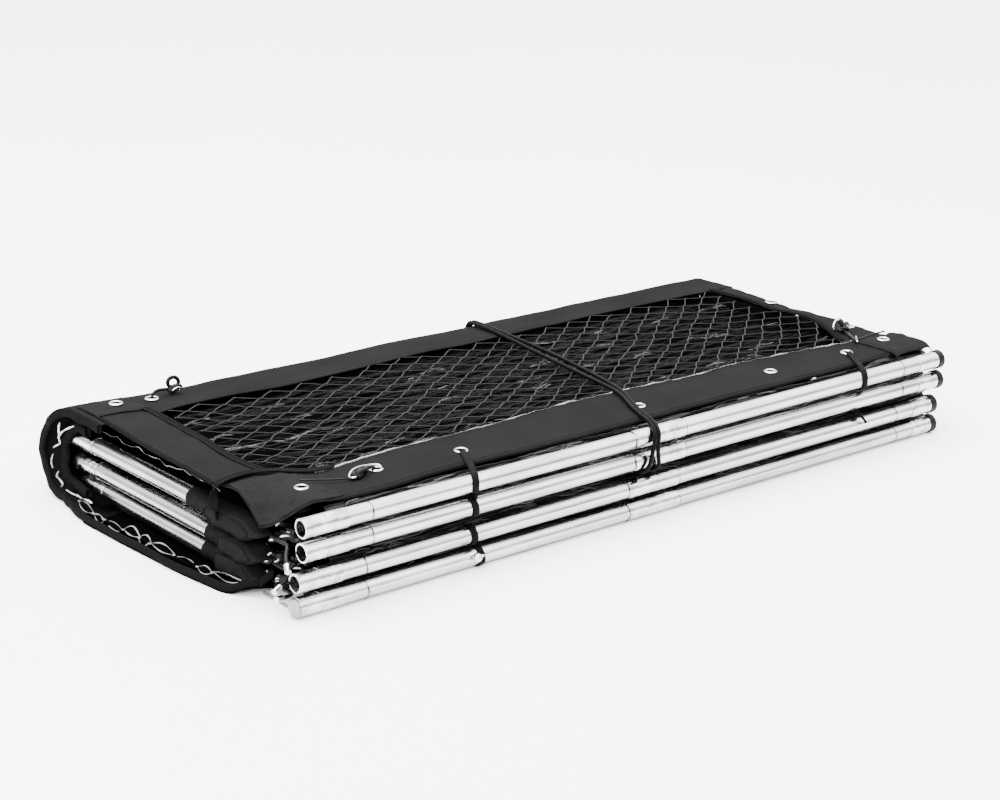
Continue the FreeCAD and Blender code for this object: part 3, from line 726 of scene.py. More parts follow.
# ------------------------------------------------------------------ the top of the pack
@dataclass
class TopSurface:
    """Where the top layer's cloth lies and where its edges run."""

    level: float
    left_x: float = -402.0
    right_x: float = 396.0
    seam_y: float = 126.0
    roll_y: float = -165.0
    back_inner: tuple = ((-345.0, 110.0), (-304.0, 120.0), (-262.0, 121.0), (-200.0, 112.0), (-120.0, 117.0),
                         (-30.0, 119.0), (68.0, 118.0), (205.0, 121.0), (300.0, 121.0), (396.0, 114.0))
    front_inner: tuple = ((-404.0, -87.0), (-385.0, -79.5), (-365.0, -78.5), (-345.0, -87.0), (-331.0, -98.0),
                          (-316.0, -106.0), (-288.0, -104.8), (-241.0, -102.5), (-170.0, -99.0),
                          (-108.0, -98.0),
                          (-50.0, -94.0), (16.0, -93.5), (77.0, -99.5), (137.0, -102.0), (178.0, -99.0),
                          (263.0, -106.0), (333.0, -115.0), (396.0, -119.0))
    left_outer: tuple = ((-95.0, -405.0), (-62.0, -403.5), (29.0, -399.0), (78.0, -397.0), (134.0, -396.0))
    left_inner: tuple = ((-92.0, -346.0), (-72.0, -349.5), (23.0, -346.0), (112.0, -342.0))
    right_inner: tuple = ((-116.0, 329.0), (-80.0, 348.0), (-53.0, 363.0), (-9.0, 372.0), (23.0, 365.0),
                          (62.0, 370.0), (122.0, 366.0))
    right_outer: tuple = ((-120.0, 395.0), (-28.0, 394.0), (15.0, 391.0), (71.0, 396.0), (122.0, 398.0))

    def height(self, x: np.ndarray, y: np.ndarray) -> np.ndarray:
        """Height of the cloth: level with a slow sag, and a drooping front left corner."""
        left = smooth((-352.0 - x) / 43.0)
        ahead = np.clip((-104.0 - y) / 34.0, 0.0, 1.0) ** 1.5
        back = 2.6 * smooth((-330.0 - x) / 60.0) * smooth((y - 60.0) / 90.0)
        right = 1.8 * smooth((x - 335.0) / 40.0) * smooth((-110.0 - y) / 30.0)
        sag = 0.45 * ripple(x, y, 3, 180.0) + 0.2 * ripple(x, y, 4, 45.0)
        return self.level + sag - 21.5 * left * ahead + back + right

    def inset(self, x: np.ndarray, y: np.ndarray) -> np.ndarray:
        """Distance into the net's opening from its nearest edge, below 0 on the cloth."""
        side = np.minimum(x - table(y, self.left_inner), table(y, self.right_inner) - x)
        ends = np.minimum(y - table(x, self.front_inner), table(x, self.back_inner) - y)
        return np.minimum(side, ends)

    def net_height(self, x: np.ndarray, y: np.ndarray) -> np.ndarray:
        """Height of the net: a little lower than the cloth, more so in the middle."""
        deep = smooth(self.inset(x, y) / 60.0)
        return self.height(x, y) - 0.5 - 2.6 * deep + 0.8 * ripple(x, y, 9, 70.0) * deep


@dataclass
class KnottedNet:
    """Diamond net: two families of strands that meet in small knots and kink a little there."""

    bar_a: float = 23.2
    bar_b: float = 21.0
    turn_a: float = 35.9
    turn_b: float = -32.1
    bend: float = 0.00024
    knot: float = 2.8
    radius_a: float = 0.62
    radius_b: float = 0.42
    wander: float = 1.5
    seed: int = 11

    def shape(self, span: tuple, inset: object, height: object) -> Shape:
        """Builds the net where inset is above 0.

        A knot stands at i * a + j * b, moved a little at random and by bend * x^2 along y; a bar
        runs from each knot's tail to the head of the next knot of its family.

        Args:
            span: (x0, x1, y0, y1) in mm.
            inset: distance into the opening, a function of x and y.
            height: height of the net, a function of x and y.

        Returns:
            Bars and knots as one shape.
        """
        x0, x1, y0, y1 = span
        a = self.bar_a * np.array([math.cos(math.radians(self.turn_a)), math.sin(math.radians(self.turn_a))])
        b = self.bar_b * np.array([math.cos(math.radians(self.turn_b)), math.sin(math.radians(self.turn_b))])
        size = int((x1 - x0 + y1 - y0) / self.bar_b) + 6
        i, j = np.meshgrid(np.arange(-size, size), np.arange(-size, size), indexing="ij")
        grid = np.array([(x0 + x1) / 2, (y0 + y1) / 2]) + i[..., None] * a + j[..., None] * b
        rng = np.random.default_rng(self.seed)
        grid = grid + rng.normal(0, self.wander * 0.35, grid.shape)
        grid[..., 1] += self.bend * np.clip(grid[..., 0], x0, x1) ** 2
        grid[..., 0] += self.wander * ripple(grid[..., 0], grid[..., 1], self.seed, 160.0)
        grid[..., 1] += self.wander * ripple(grid[..., 0], grid[..., 1], self.seed + 1, 130.0)
        half = unit(a + b) * self.knot / 2
        heads, tails = grid - half, grid + half
        first = np.stack([tails[:-1], heads[1:]], axis=2).reshape(-1, 2, 2)
        second = np.stack([tails[:, :-1], heads[:, 1:]], axis=2).reshape(-1, 2, 2)
        lines = np.concatenate([first, second])
        radii = np.concatenate([np.full(len(first), self.radius_a), np.full(len(second), self.radius_b)])
        t = np.linspace(0, 1, 7)[None, :, None]
        paths = lines[:, :1] * (1 - t) + lines[:, 1:] * t
        bow = (t * (1 - t)) * 4 * rng.normal(0, 0.45, (len(paths), 1, 1))
        side = unit(paths[:, -1] - paths[:, 0])[:, None, ::-1] * np.array([-1.0, 1.0])
        paths = paths + bow * side
        depth = inset(paths[..., 0], paths[..., 1])
        whole = (depth > -4.0).all(axis=1) & (depth > 0.0).any(axis=1)
        bars = strands(self.lifted(paths[whole], height), radii[whole][:, None] * np.ones((1, 7)), 5,
                       ref=(0.1, 0.05, 1.0))
        knots = np.stack([heads - half * 0.1, grid, tails + half * 0.1], axis=2).reshape(-1, 3, 2)
        kept = (inset(knots[..., 0], knots[..., 1]) > 1.0).all(axis=1)
        fat = np.array([[0.5, 0.95, 0.5]]) * np.ones((kept.sum(), 1))
        return bars.joined(strands(self.lifted(knots[kept], height), fat, 6, ref=(0.1, 0.05, 1.0)))

    @staticmethod
    def lifted(flat: np.ndarray, height: object) -> np.ndarray:
        """Plan points with their heights."""
        return np.concatenate([flat, height(flat[..., 0], flat[..., 1])[..., None]], axis=-1)


@dataclass
class TopDeck:
    """Layer 1: cloth strips with a rolled hem, corner patches, stitching and the net."""

    surface: TopSurface
    finishes: Finishes
    cell: float = 2.0
    cloth: float = 0.9
    roll_r: float = 2.5
    eyelets: tuple = ((-349.0, -131.0), (-273.0, -132.0), (-187.0, -140.0), (24.0, -140.0), (200.0, -139.0),
                      (308.5, -140.0), (362.0, -141.0), (-364.0, 149.0), (-326.0, 149.0), (380.0, -77.0),
                      (384.0, 39.0))

    def front_edge(self, x: np.ndarray) -> np.ndarray:
        """Where the front strip's flat part ends: nearly straight, drawn back at the left corner."""
        left = np.clip((-345.0 - x) / 50.0, 0.0, 1.0) ** 1.2
        right = smooth((x - 330.0) / 60.0)
        return self.surface.roll_y + 1.6 * ripple(x, x * 0, 21, 190.0) + 26.0 * left - 7.0 * right

    def build(self) -> None:
        """Makes every piece of the top layer."""
        s, f = self.surface, self.finishes
        self.strip("top_front_border", self.front_grid()[:, ::-1], f.cloth, ("deck_1_border",))
        self.strip("top_left_border", self.left_grid(), f.cloth)
        self.strip("top_right_border", self.right_grid(), f.cloth)
        self.sleeve()
        self.patches()
        self.edges()
        self.seams()
        net = KnottedNet().shape((-350.0, 372.0, -118.0, 124.0), s.inset, s.net_height)
        finish_piece(net.to_object("top_net"), f.net, Body.UPPER, ("deck_1_net",))
        LOG.info("top deck made")

    def front_grid(self) -> np.ndarray:
        """Front strip: flat from its inner edge, then rolled under at its outer edge."""
        s = self.surface
        x = np.linspace(-395.5, s.right_x - 6, int((s.right_x - s.left_x) / self.cell))
        v = np.linspace(0.0, 1.0, 54)[None]
        inner = table(x, s.front_inner) + 7.0 * smooth((-318.0 - x) / 16.0)
        edge = self.front_edge(x)
        roll_r = self.roll_r * (1.0 - 0.75 * smooth((-318.0 - x) / 40.0))
        width = (inner - edge)[:, None]
        roll = (1.35 * math.pi * roll_r)[:, None]
        run = v * (width + roll)
        turn = np.maximum(run - width, 0) / roll_r[:, None]
        y = inner[:, None] - np.minimum(run, width) - roll_r[:, None] * np.sin(turn)
        xx = np.broadcast_to(x[:, None], y.shape)
        under = 1.6 * smooth((-320.0 - xx) / 20.0) * smooth((y + 96.0) / 12.0)
        z = s.height(xx, y) - roll_r[:, None] * (1 - np.cos(turn)) - under
        lip = 1.5 * np.exp(-((run - width + 0.6) / 1.0) ** 2)
        return np.stack([xx, y, z - lip], axis=-1)

    def left_grid(self) -> np.ndarray:
        """Left strip: from the patch seam at the back to its curved hem at the front."""
        s = self.surface
        u = np.linspace(0, 1, 34)[:, None]
        v = np.linspace(0, 1, 118)[None]
        x = -405.0 + 61.0 * u
        front = table(x, s.front_inner) - 1.0
        y = front * (1 - v) + (s.seam_y + 2.0) * v
        x = table(y, s.left_outer) * (1 - u) + table(y, s.left_inner) * u
        z = s.height(x, y) + 1.3 - 1.6 * np.clip(1 - u * 12, 0, 1) ** 2 - 1.4 * smooth((y - 112.0) / 10.0)
        z = z + 0.35 * ripple(x, y, 27, 30.0)
        return np.stack([x + 0 * v, y, z], axis=-1)

    def right_grid(self) -> np.ndarray:
        """Right strip: narrow, creased, wider towards the front."""
        s = self.surface
        u = np.linspace(0, 1, 26)[:, None]
        y = np.linspace(-127.0, 121.0, 116)[None] + 0 * u
        along = np.maximum(y, -115.0)
        x = table(along, s.right_inner) * (1 - u) + table(along, s.right_outer) * u
        z = s.height(x, y) + 0.6 - 3.2 * np.clip(u * 8 - 7, 0, 1) ** 2 + 0.5 * ripple(x, y, 29, 24.0)
        z = z - 1.2 * smooth((y - 106.0) / 10.0)
        return np.stack([x, y, z], axis=-1)

    def sleeve(self) -> None:
        """Sleeve of the right strip, wound over the short pole under it, in darker cloth whose low tone is
        painted shade.
        """
        low, high = (np.array(c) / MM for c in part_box("corner_boots_1"))
        r = float(high[2] - low[2]) / 2
        x, z = float(high[0]) - r, float(low[2] + high[2]) / 2
        u = np.linspace(0, 1, 22)[:, None]
        y = np.linspace(-100.0, 128.0, 110)[None] + 0 * u
        a = math.radians(215.0) - math.radians(150.0) * u
        reach = 9.3 + 0.7 * (1 + ripple(y, a * 9.0, 31, 17.0).clip(-1, 1))
        xyz = np.stack([x + reach * np.cos(a), y, z + reach * np.sin(a)], axis=-1)
        cloth = sheet_shape(xyz, np.stack([y, a * 9.0 + 0 * y], axis=-1))
        piece = thicken(cloth.to_object("right_pole_sleeve"), 0.6, 0.0)
        finish_piece(piece, self.finishes.shaded_cloth, Body.UPPER)

    def strip(self, name: str, xyz: np.ndarray, material: bpy.types.Material, nodes: tuple = ()) -> None:
        """One cloth strip with eyelet holes."""
        uv = xyz[..., :2].copy()
        uv[..., 1] += 0.3 * xyz[..., 2]
        piece = sheet_shape(xyz, uv, self.eyelets, 4.4).to_object(name)
        thicken(piece, self.cloth)
        finish_piece(piece, material, Body.UPPER, nodes)

    def patches(self) -> None:
        """Corner patches of heavier cloth, sewn over the strips."""
        s, f = self.surface, self.finishes
        u = np.linspace(0, 1, 36)[:, None]
        v = np.linspace(0, 1, 34)[None]
        x = -396.0 + 51.0 * u + 0 * v
        y = (s.seam_y + 1.5 * np.sin(u * 5)) * (1 - v) + 166.0 * v
        z = s.height(x, y) + 2.0 + 0.35 * ripple(x, y, 41, 18.0)
        self.strip("corner_patch_back_left", np.stack([x, y, z], axis=-1), f.patch)
        x = -394.5 + 64.0 * u + 0 * v
        y = (self.front_edge(x) + 1.2) * (1 - v) + (table(x, s.front_inner) + 3.0) * v
        crease = 0.9 * np.exp(-((x - y * 0.9 + 245.0) / 3.0) ** 2)
        crease = crease + 0.6 * np.exp(-((x + 352.0 + 0.3 * y) / 2.2) ** 2)
        z = s.height(x, y) + 0.55 + 0.5 * ripple(x, y, 43, 17.0) + crease - 2.0 * smooth((y + 92.0) / 12.0)
        self.strip("corner_patch_front_left", np.stack([x, y, z], axis=-1), f.patch)
        x = 342.0 + 53.0 * u + 7.0 * u * v
        y = -178.0 * (1 - v) - (119.0 + 2.0 * u) * v
        edge = 4.5 * np.clip(u * 9 - 8, 0, 1) ** 2 + 2.2 * np.clip(1 - u * 9, 0, 1) ** 2
        edge = edge + 3.8 * np.clip(1 - v * 7, 0, 1) ** 2
        z = s.height(x, y) + 3.2 - edge + 0.6 * ripple(x, y, 45, 19.0) - 1.6 * smooth((y + 128.0) / 8.0)
        self.strip("corner_patch_front_right", np.stack([x, y, z], axis=-1), f.patch)

    def edges(self) -> None:
        """Bound hems along the strips' edges, and the pale strand along the front strip: its light tone is
        partly its cut edge's own, partly a painted highlight.
        """
        s, f = self.surface, self.finishes
        tape = oblong(8.0, 1.3, 0.6, 4)
        x = np.linspace(-404.0, -300.0, 120)
        arc = np.stack([x, table(x, s.front_inner) + 1.5, s.height(x, table(x, s.front_inner)) + 2.1], axis=1)
        arc = np.vstack([arc[:1] + np.array([(1.2, 2.0, -33.0), (-0.4, 3.0, -24.0), (-1.6, 2.0, -13.0),
                                             (-1.4, 0.6, -5.0)]), arc])
        whole = self.tape(resample(arc, 1.5), tape)
        y = np.linspace(-80.0, s.seam_y, 110)
        whole = whole.joined(self.tape(np.stack([table(y, s.left_inner) - 4.6, y, self.over(
            table(y, s.left_inner) - 4.6, y, 1.9)], axis=1), tape))
        edge = oblong(3.6, 1.8, 0.8, 4)
        whole = whole.joined(self.tape(np.stack([table(y, s.left_outer) + 1.4, y, self.over(
            table(y, s.left_outer) + 1.4, y, 0.9)], axis=1), edge))
        y = np.linspace(-108.0, 118.0, 90)
        whole = whole.joined(self.tape(np.stack([table(y, s.right_inner) + 3.6, y, self.over(
            table(y, s.right_inner) + 3.6, y, 1.3)], axis=1), oblong(6.0, 1.3, 0.6, 4)))
        finish_piece(whole.to_object("top_hems"), f.binding, Body.UPPER)
        # The front strip's pale edge: partly its own light colour, partly a painted highlight where it
        # catches light.
        x = np.linspace(-318.0, 345.0, 700)
        y = table(x, s.front_inner) + 0.6 + 0.6 * ripple(x, x * 0, 52, 26.0)
        z = s.height(x, y) + 0.6 + 0.25 * ripple(x, x * 0, 53, 12.0)
        solid = 0.9 * smooth((-205.0 - x) / 40.0)
        loose = 0.55 * ripple(x, x * 0, 54, 44.0) + 0.25 * ripple(x, x * 0, 55, 5.0)
        fray = np.clip(0.35 + solid + loose, 0.12, 1.35)
        pale_edge_and_glint = rod(np.stack([x, y, z], axis=1), fray, 7, flat=0.7)
        finish_piece(pale_edge_and_glint.to_object("pale_edge_and_glint_front"), f.pale_edge_and_glint, Body.UPPER)

    def over(self, x: np.ndarray, y: np.ndarray, lift: float) -> np.ndarray:
        """Height of a line that lies on the cloth."""
        return self.surface.height(x, y) + lift

    @staticmethod
    def tape(path: np.ndarray, section: np.ndarray) -> Shape:
        """A flat tape along a line, level across."""
        heading = unit(np.gradient(path, axis=0))
        across = unit(np.cross(np.array([0.02, 0.01, 1.0]), heading))
        return profiled(path, section[::-1], across, np.cross(heading, across))

    def seams(self) -> None:
        """Rows of stitches beside the hems and round the patches."""
        s = self.surface
        rows = []
        x = np.linspace(-316.0, s.right_x - 50, 300)
        inner = table(x, s.front_inner)
        rows += [(x, inner - 4.2, 0.3), (x, inner - 1.6, 0.3), (x, self.front_edge(x) + 1.8, 0.1)]
        x = np.linspace(-402.0, -318.0, 90)
        rows += [(x, table(x, s.front_inner) + 4.2, 2.7), (x, table(x, s.front_inner) - 0.8, 2.6)]
        y = np.linspace(-74.0, s.seam_y, 120)
        for line, shift, lift in ((s.left_inner, -7.8, 2.5), (s.left_inner, -1.8, 2.5),
                                  (s.left_outer, 4.6, 1.7),
                                  (s.right_inner, 6.2, 2.0), (s.right_inner, 1.6, 2.0)):
            rows.append((table(y, line) + shift, y, lift))
        x = np.linspace(-340.0, 388.0, 300)
        inner = table(x, s.back_inner)
        rows += [(x, inner + 2.0, 1.0), (x, inner + 7.5, 1.0)]
        for x0, x1, y0, y1, lift in ((-393.0, -348.0, 128.5, 162.0, 2.4),
                                     (-388.0, -333.0, -136.0, -104.0, 1.0),
                                     (346.0, 388.0, -170.0, -124.0, 3.6)):
            t = np.linspace(0, 4, 140)
            rows.append((np.interp(t, range(5), (x0, x1, x1, x0, x0)),
                         np.interp(t, range(5), (y0, y0, y1, y1, y0)),
                         lift))
        whole = None
        for x, y, lift in rows:
            row = stitches(np.stack([x, y, s.height(x, y) + lift], axis=1))
            whole = row if whole is None else whole.joined(row)
        finish_piece(whole.to_object("top_stitching"), self.finishes.thread, Body.UPPER)


# ------------------------------------------------------------------ the fold at the back
@dataclass
class BackWrap:
    """Cloth that runs from the top layer's back strip round the fold to the bottom layer's."""

    surface: TopSurface
    finishes: Finishes
    fold_z: float
    centre_y: float = 160.0
    left_x: float = -402.0
    right_x: float = 397.0
    bottom_y: float = 104.0
    lining_gap: float = 12.0

    def outline(self, t: np.ndarray, radius: float, top_y: np.ndarray) -> tuple:
        """(y, z) along the wrap for t from 0, top inner edge, to 3, bottom inner edge."""
        top = np.clip(t, 0, 1)
        arc = np.clip(t - 1, 0, 1) * math.pi
        low = np.clip(t - 2, 0, 1)
        y = top_y + (self.centre_y - top_y) * top + radius * np.sin(arc)
        y = y - (self.centre_y - self.bottom_y) * low
        return y, self.fold_z + radius * np.cos(arc)

    def grid(self, radius: float, inner: bool, x0: float, x1: float, nu: int, seed: int,
             wave: float) -> np.ndarray:
        """The wrap's surface: the outline carried along x with uneven bulges on the turn."""
        t = np.concatenate([np.linspace(0, 1, 30)[:-1], np.linspace(1, 2, 56), np.linspace(2, 3, 26)[1:]])
        uu, tt = np.meshgrid(np.linspace(0, 1, nu), t, indexing="ij")
        x = x0 + (x1 - x0) * uu
        y, z = self.outline(tt, radius, table(x, self.surface.back_inner) if not inner else x * 0 + 134.0)
        turn = np.sin(np.clip(tt - 1, 0, 1) * math.pi)
        end = smooth(1 - uu * 4.5)
        swell = ripple(x, tt * 55.0, seed, 80.0) + 0.5 * ripple(x * 0.5, tt * 90.0, seed + 1, 30.0)
        bulge = wave * swell * turn
        if not inner:
            bulge = bulge + 9.0 * turn * end - 1.2 * turn * (1 - end)
        yy = y + bulge * np.maximum(turn, 0.2)
        zz = z + bulge * np.cos(np.clip(tt - 1, 0, 1) * math.pi) * 0.5
        lead = (-12.0 * smooth(tt - 1.0) - 10.0 * np.clip(tt - 2, 0, 1)) * smooth(1 - uu * 5.0)
        lift = self.surface.height(x, yy) - self.surface.level
        fade = np.clip(1.9 - tt, 0, 1) * smooth((yy - 60.0) / 20.0)
        zz = zz + (lift * fade if not inner else 0.0)
        return np.stack([x + (lead if not inner else lead * 0.6), yy, np.maximum(zz, 0.5)], axis=-1)

    def build(self) -> None:
        """Makes the outer wrap, the inner fold in darker cloth whose low tone is painted shade, its edge
        bindings and the net strands in the fold painted bright as highlights.
        """
        f = self.finishes
        outer = self.grid(self.fold_z - 0.3, False, self.left_x, self.right_x, 320, 61, 1.5)
        self.cloth("back_wrap", outer, f.cloth, 0.9, ("outer_fold",))
        # The inner fold takes the darker cloth, whose low tone is painted shade.
        shaded_cloth = self.grid(self.fold_z - self.lining_gap, True, self.left_x + 7, self.right_x - 8, 220, 63,
                           2.6)
        self.cloth("back_lining", shaded_cloth, f.shaded_cloth, 0.8, ("inner_fold",))
        self.binding(outer[0], "left_edge_binding", -1.0, 8.6, 4.6)
        self.binding(outer[-1], "right_edge_binding", 1.0, 6.2, 3.4)
        self.binding(shaded_cloth[0, 12:-12], "left_lining_roll", -1.0, 9.5, 6.5)
        self.filaments()
        LOG.info("back wrap made")

    def cloth(self, name: str, xyz: np.ndarray, material: bpy.types.Material, thickness: float,
              nodes: tuple) -> None:
        """A cloth that crosses the fold."""
        width, length = flat_size(xyz)
        uv = np.stack(np.meshgrid(np.linspace(0, width / MM, xyz.shape[0]),
                                  np.linspace(0, length / MM, xyz.shape[1]),
                                  indexing="ij"), axis=-1)
        holes = ((-364.0, 149.0), (-326.0, 149.0)) if name == "back_wrap" else ()
        piece = sheet_shape(xyz[:, ::-1], uv, holes, 4.4).to_object(name)
        thicken(piece, thickness, 1.0)
        finish_piece(piece, material, None, nodes)
        self.bend(piece)

    def bend(self, piece: bpy.types.Object) -> None:
        """Bakes the piece's placement into its mesh; it is tied to neither half."""
        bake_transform(piece)

    def binding(self, line: np.ndarray, name: str, out: float, width: float, height: float) -> None:
        """Thick bound edge along the wrap's end, following its line."""
        path = resample(line, 2.5)
        heading = unit(np.gradient(path, axis=0))
        across = np.array([out, 0.0, 0.0])
        up = unit(np.cross(heading, across))
        middle = np.array([0.0, self.centre_y - 30.0, self.fold_z])
        inward = np.where(((middle - path) * up).sum(axis=1, keepdims=True) < 0, -up, up)
        s = np.arange(len(path)) * 2.5
        wave = 1.0 + 0.16 * ripple(s, s * 0, 71, 34.0)
        drift = 0.6 + 0.7 * ripple(s, s * 0, 72, 26.0)
        path = path + inward * (width * 0.5 * wave[:, None]) + across * drift[:, None]
        path[:, 2] = np.maximum(path[:, 2], width * 0.52)
        section = oblong(height, width, min(height, width) * 0.44, 5)
        shape = profiled(path, section[::-1] if out < 0 else section, across, up)
        piece = finish_piece(shape.to_object(name), self.finishes.binding)
        self.bend(piece)

    def filaments(self) -> None:
        """Strands of net caught between the wrap and the inner fold at the left end, painted bright as
        highlights.
        """
        runs = (((157, 74), (171, 68), (186, 58.5), (187.6, 53.5), (183.6, 50), (193, 45.6), (199.6, 41.5)),
                ((200.5, 35), (205.3, 28), (204.6, 22.5), (202.5, 20.5)),
                ((191, 20.5), (198, 14), (189, 12.7), (183, 9.4), (189, 5), (196, 4.5)),
                ((176, 73), (181, 66), (178, 60)), ((170, 9), (158, 8), (149, 10), (141, 9)),
                ((138, 9.5), (131, 11), (122, 10)))
        whole = None
        for k, run in enumerate(runs):
            at = np.array([(-404.0 - (4.0 if k > 2 else 0.0), y, z) for y, z in run], dtype=float)
            line = spline_line(at.tolist(), 0.8)
            s = np.linspace(0, 1, len(line))
            uneven = 0.3 * ripple(s * 40, s * 0, 83 + k, 9.0)
            thick = (0.45 + 0.45 * np.sin(s * math.pi) + uneven).clip(0.25, 1.2)
            part = rod(line, thick, 7, ref=(1.0, 0.1, 0.05))
            whole = part if whole is None else whole.joined(part)
        piece = finish_piece(whole.to_object("net_glints_left"), self.finishes.glint)
        self.bend(piece)


# ------------------------------------------------------------------ inside the pack
@dataclass
class GatheredNet:
    """The inner panel's net, bunched in loose near-parallel folds over a bed whose dark tone is painted
    shade.
    """

    finishes: Finishes
    low: float
    high: float
    body: Body
    node: str
    label: str
    count: int = 980
    bright: int = 420
    rows: tuple = (89.0, 47.0, 8.0, -67.0)
    seed: int = 5
    x0: float = -343.0
    x1: float = 366.0
    y0: float = -150.0
    y1: float = 140.0
    facing: float = 1.0

    def bed(self, x: np.ndarray, y: np.ndarray) -> np.ndarray:
        """Height of the bunch's face: long ridges along x that wander."""
        drift = y + 7.0 * ripple(x, y * 0.3, self.seed, 260.0)
        ridge = np.sin(drift * 2 * math.pi / 21.0) + 0.7 * np.sin(drift * 2 * math.pi / 8.3 + 1.3)
        return ridge * 1.9 + 1.1 * ripple(x * 0.4, y, self.seed + 1, 16.0)

    def build(self) -> None:
        """Makes the bed, the loose strands and the bright wisps that are painted glints."""
        xx, yy = np.meshgrid(np.linspace(self.x0, self.x1, 300), np.linspace(self.y0, self.y1, 190),
                             indexing="ij")
        grid = np.stack([xx, yy, self.face + self.facing * self.bed(xx, yy)], axis=-1)
        if self.facing < 0:
            grid = grid[::-1]
        # The bed takes the darker cloth, whose low tone is painted shade under the net.
        bed = thicken(sheet_shape(grid, grid[..., :2]).to_object(self.label + "_bed"), 1.0)
        finish_piece(bed, self.finishes.shaded_cloth, self.body, (self.node,))
        rng = np.random.default_rng(self.seed + 20)
        # The loose strands take the darker net twine, whose low tone is painted shade.
        dark = self.wisps(rng, self.count, (60.0, 300.0), 22, 0.9)
        piece = strands(dark, rng.uniform(0.16, 0.5, (self.count, 1)) * np.ones((self.count, 22)), 4,
                        ref=(0.0, 0.1, 1.0))
        finish_piece(piece.to_object(self.label + "_strands"), self.finishes.dark_net, self.body)
        # The pale wisps are painted glints on the bunched net.
        pale = self.wisps(rng, self.bright, (5.0, 20.0), 8, 0.5, grouped=True)
        thick = rng.uniform(0.15, 0.6, (self.bright, 1)) * np.array([[0.3, 0.8, 1, 0.9, 1, 0.9, 0.7, 0.3]])
        piece = strands(pale, thick, 5, ref=(0.0, 0.1, 1.0))
        finish_piece(piece.to_object(self.label + "_glints"), self.finishes.dim_glint, self.body)
        LOG.info("%s made", self.label)

    @property
    def face(self) -> float:
        """Mean height of the bunch's visible face."""
        return self.high - 8.0 if self.facing > 0 else self.low + 9.0

    def wisps(self, rng: np.random.Generator, count: int, spans: tuple, n: int, sway: float,
              grouped: bool = False) -> np.ndarray:
        """Strands that run near x over the bed, rising and dipping, gathered in groups if asked."""
        span = rng.uniform(*spans, count)
        x0 = rng.uniform(self.x0 + 2, self.x1 - 2 - span)
        y0 = rng.uniform(self.y0 + 3, self.y1 - 3, count)
        if grouped:
            home = rng.integers(0, max(1, count // 7), count)
            x0 = np.clip(x0[home] + rng.normal(0, 7.0, count), self.x0 + 2, self.x1 - 2 - span)
            row = np.array(self.rows)[rng.integers(0, len(self.rows), count)]
            y0 = np.where(rng.random(count) < 0.7, row, y0)[home] + rng.normal(0, 3.0, count)[home]
            y0 = y0 + rng.normal(0, 0.8, count)
            y0 = np.clip(y0, self.y0 + 2, self.y1 - 2)
        t = np.linspace(0, 1, n)[None]
        x = x0[:, None] + span[:, None] * t
        phase = rng.uniform(0, 6.28, (count, 3))
        wave = rng.uniform(40.0, 120.0, (count, 3))
        slant = rng.normal(0.0, 0.035, (count, 1))
        drift = 7.0 * (ripple(x, y0[:, None] * 0.3 + 0 * x, self.seed, 260.0)
                       - ripple(x0[:, None] + 0 * x, y0[:, None] * 0.3 + 0 * x, self.seed, 260.0))
        y = y0[:, None] + slant * (x - x0[:, None]) - drift
        y = y + sway * np.sin(x / wave[:, :1] * 6.28 + phase[:, :1])
        y = np.clip(y, self.y0, self.y1)
        lift = rng.uniform(0.3, 2.6, (count, 1)) + 0.9 * np.sin(x / wave[:, 1:2] * 6.28 + phase[:, 1:2])
        z = self.face + self.facing * (self.bed(x, y) + np.maximum(lift, 0.25))
        return np.stack([x, y, z], axis=-1)


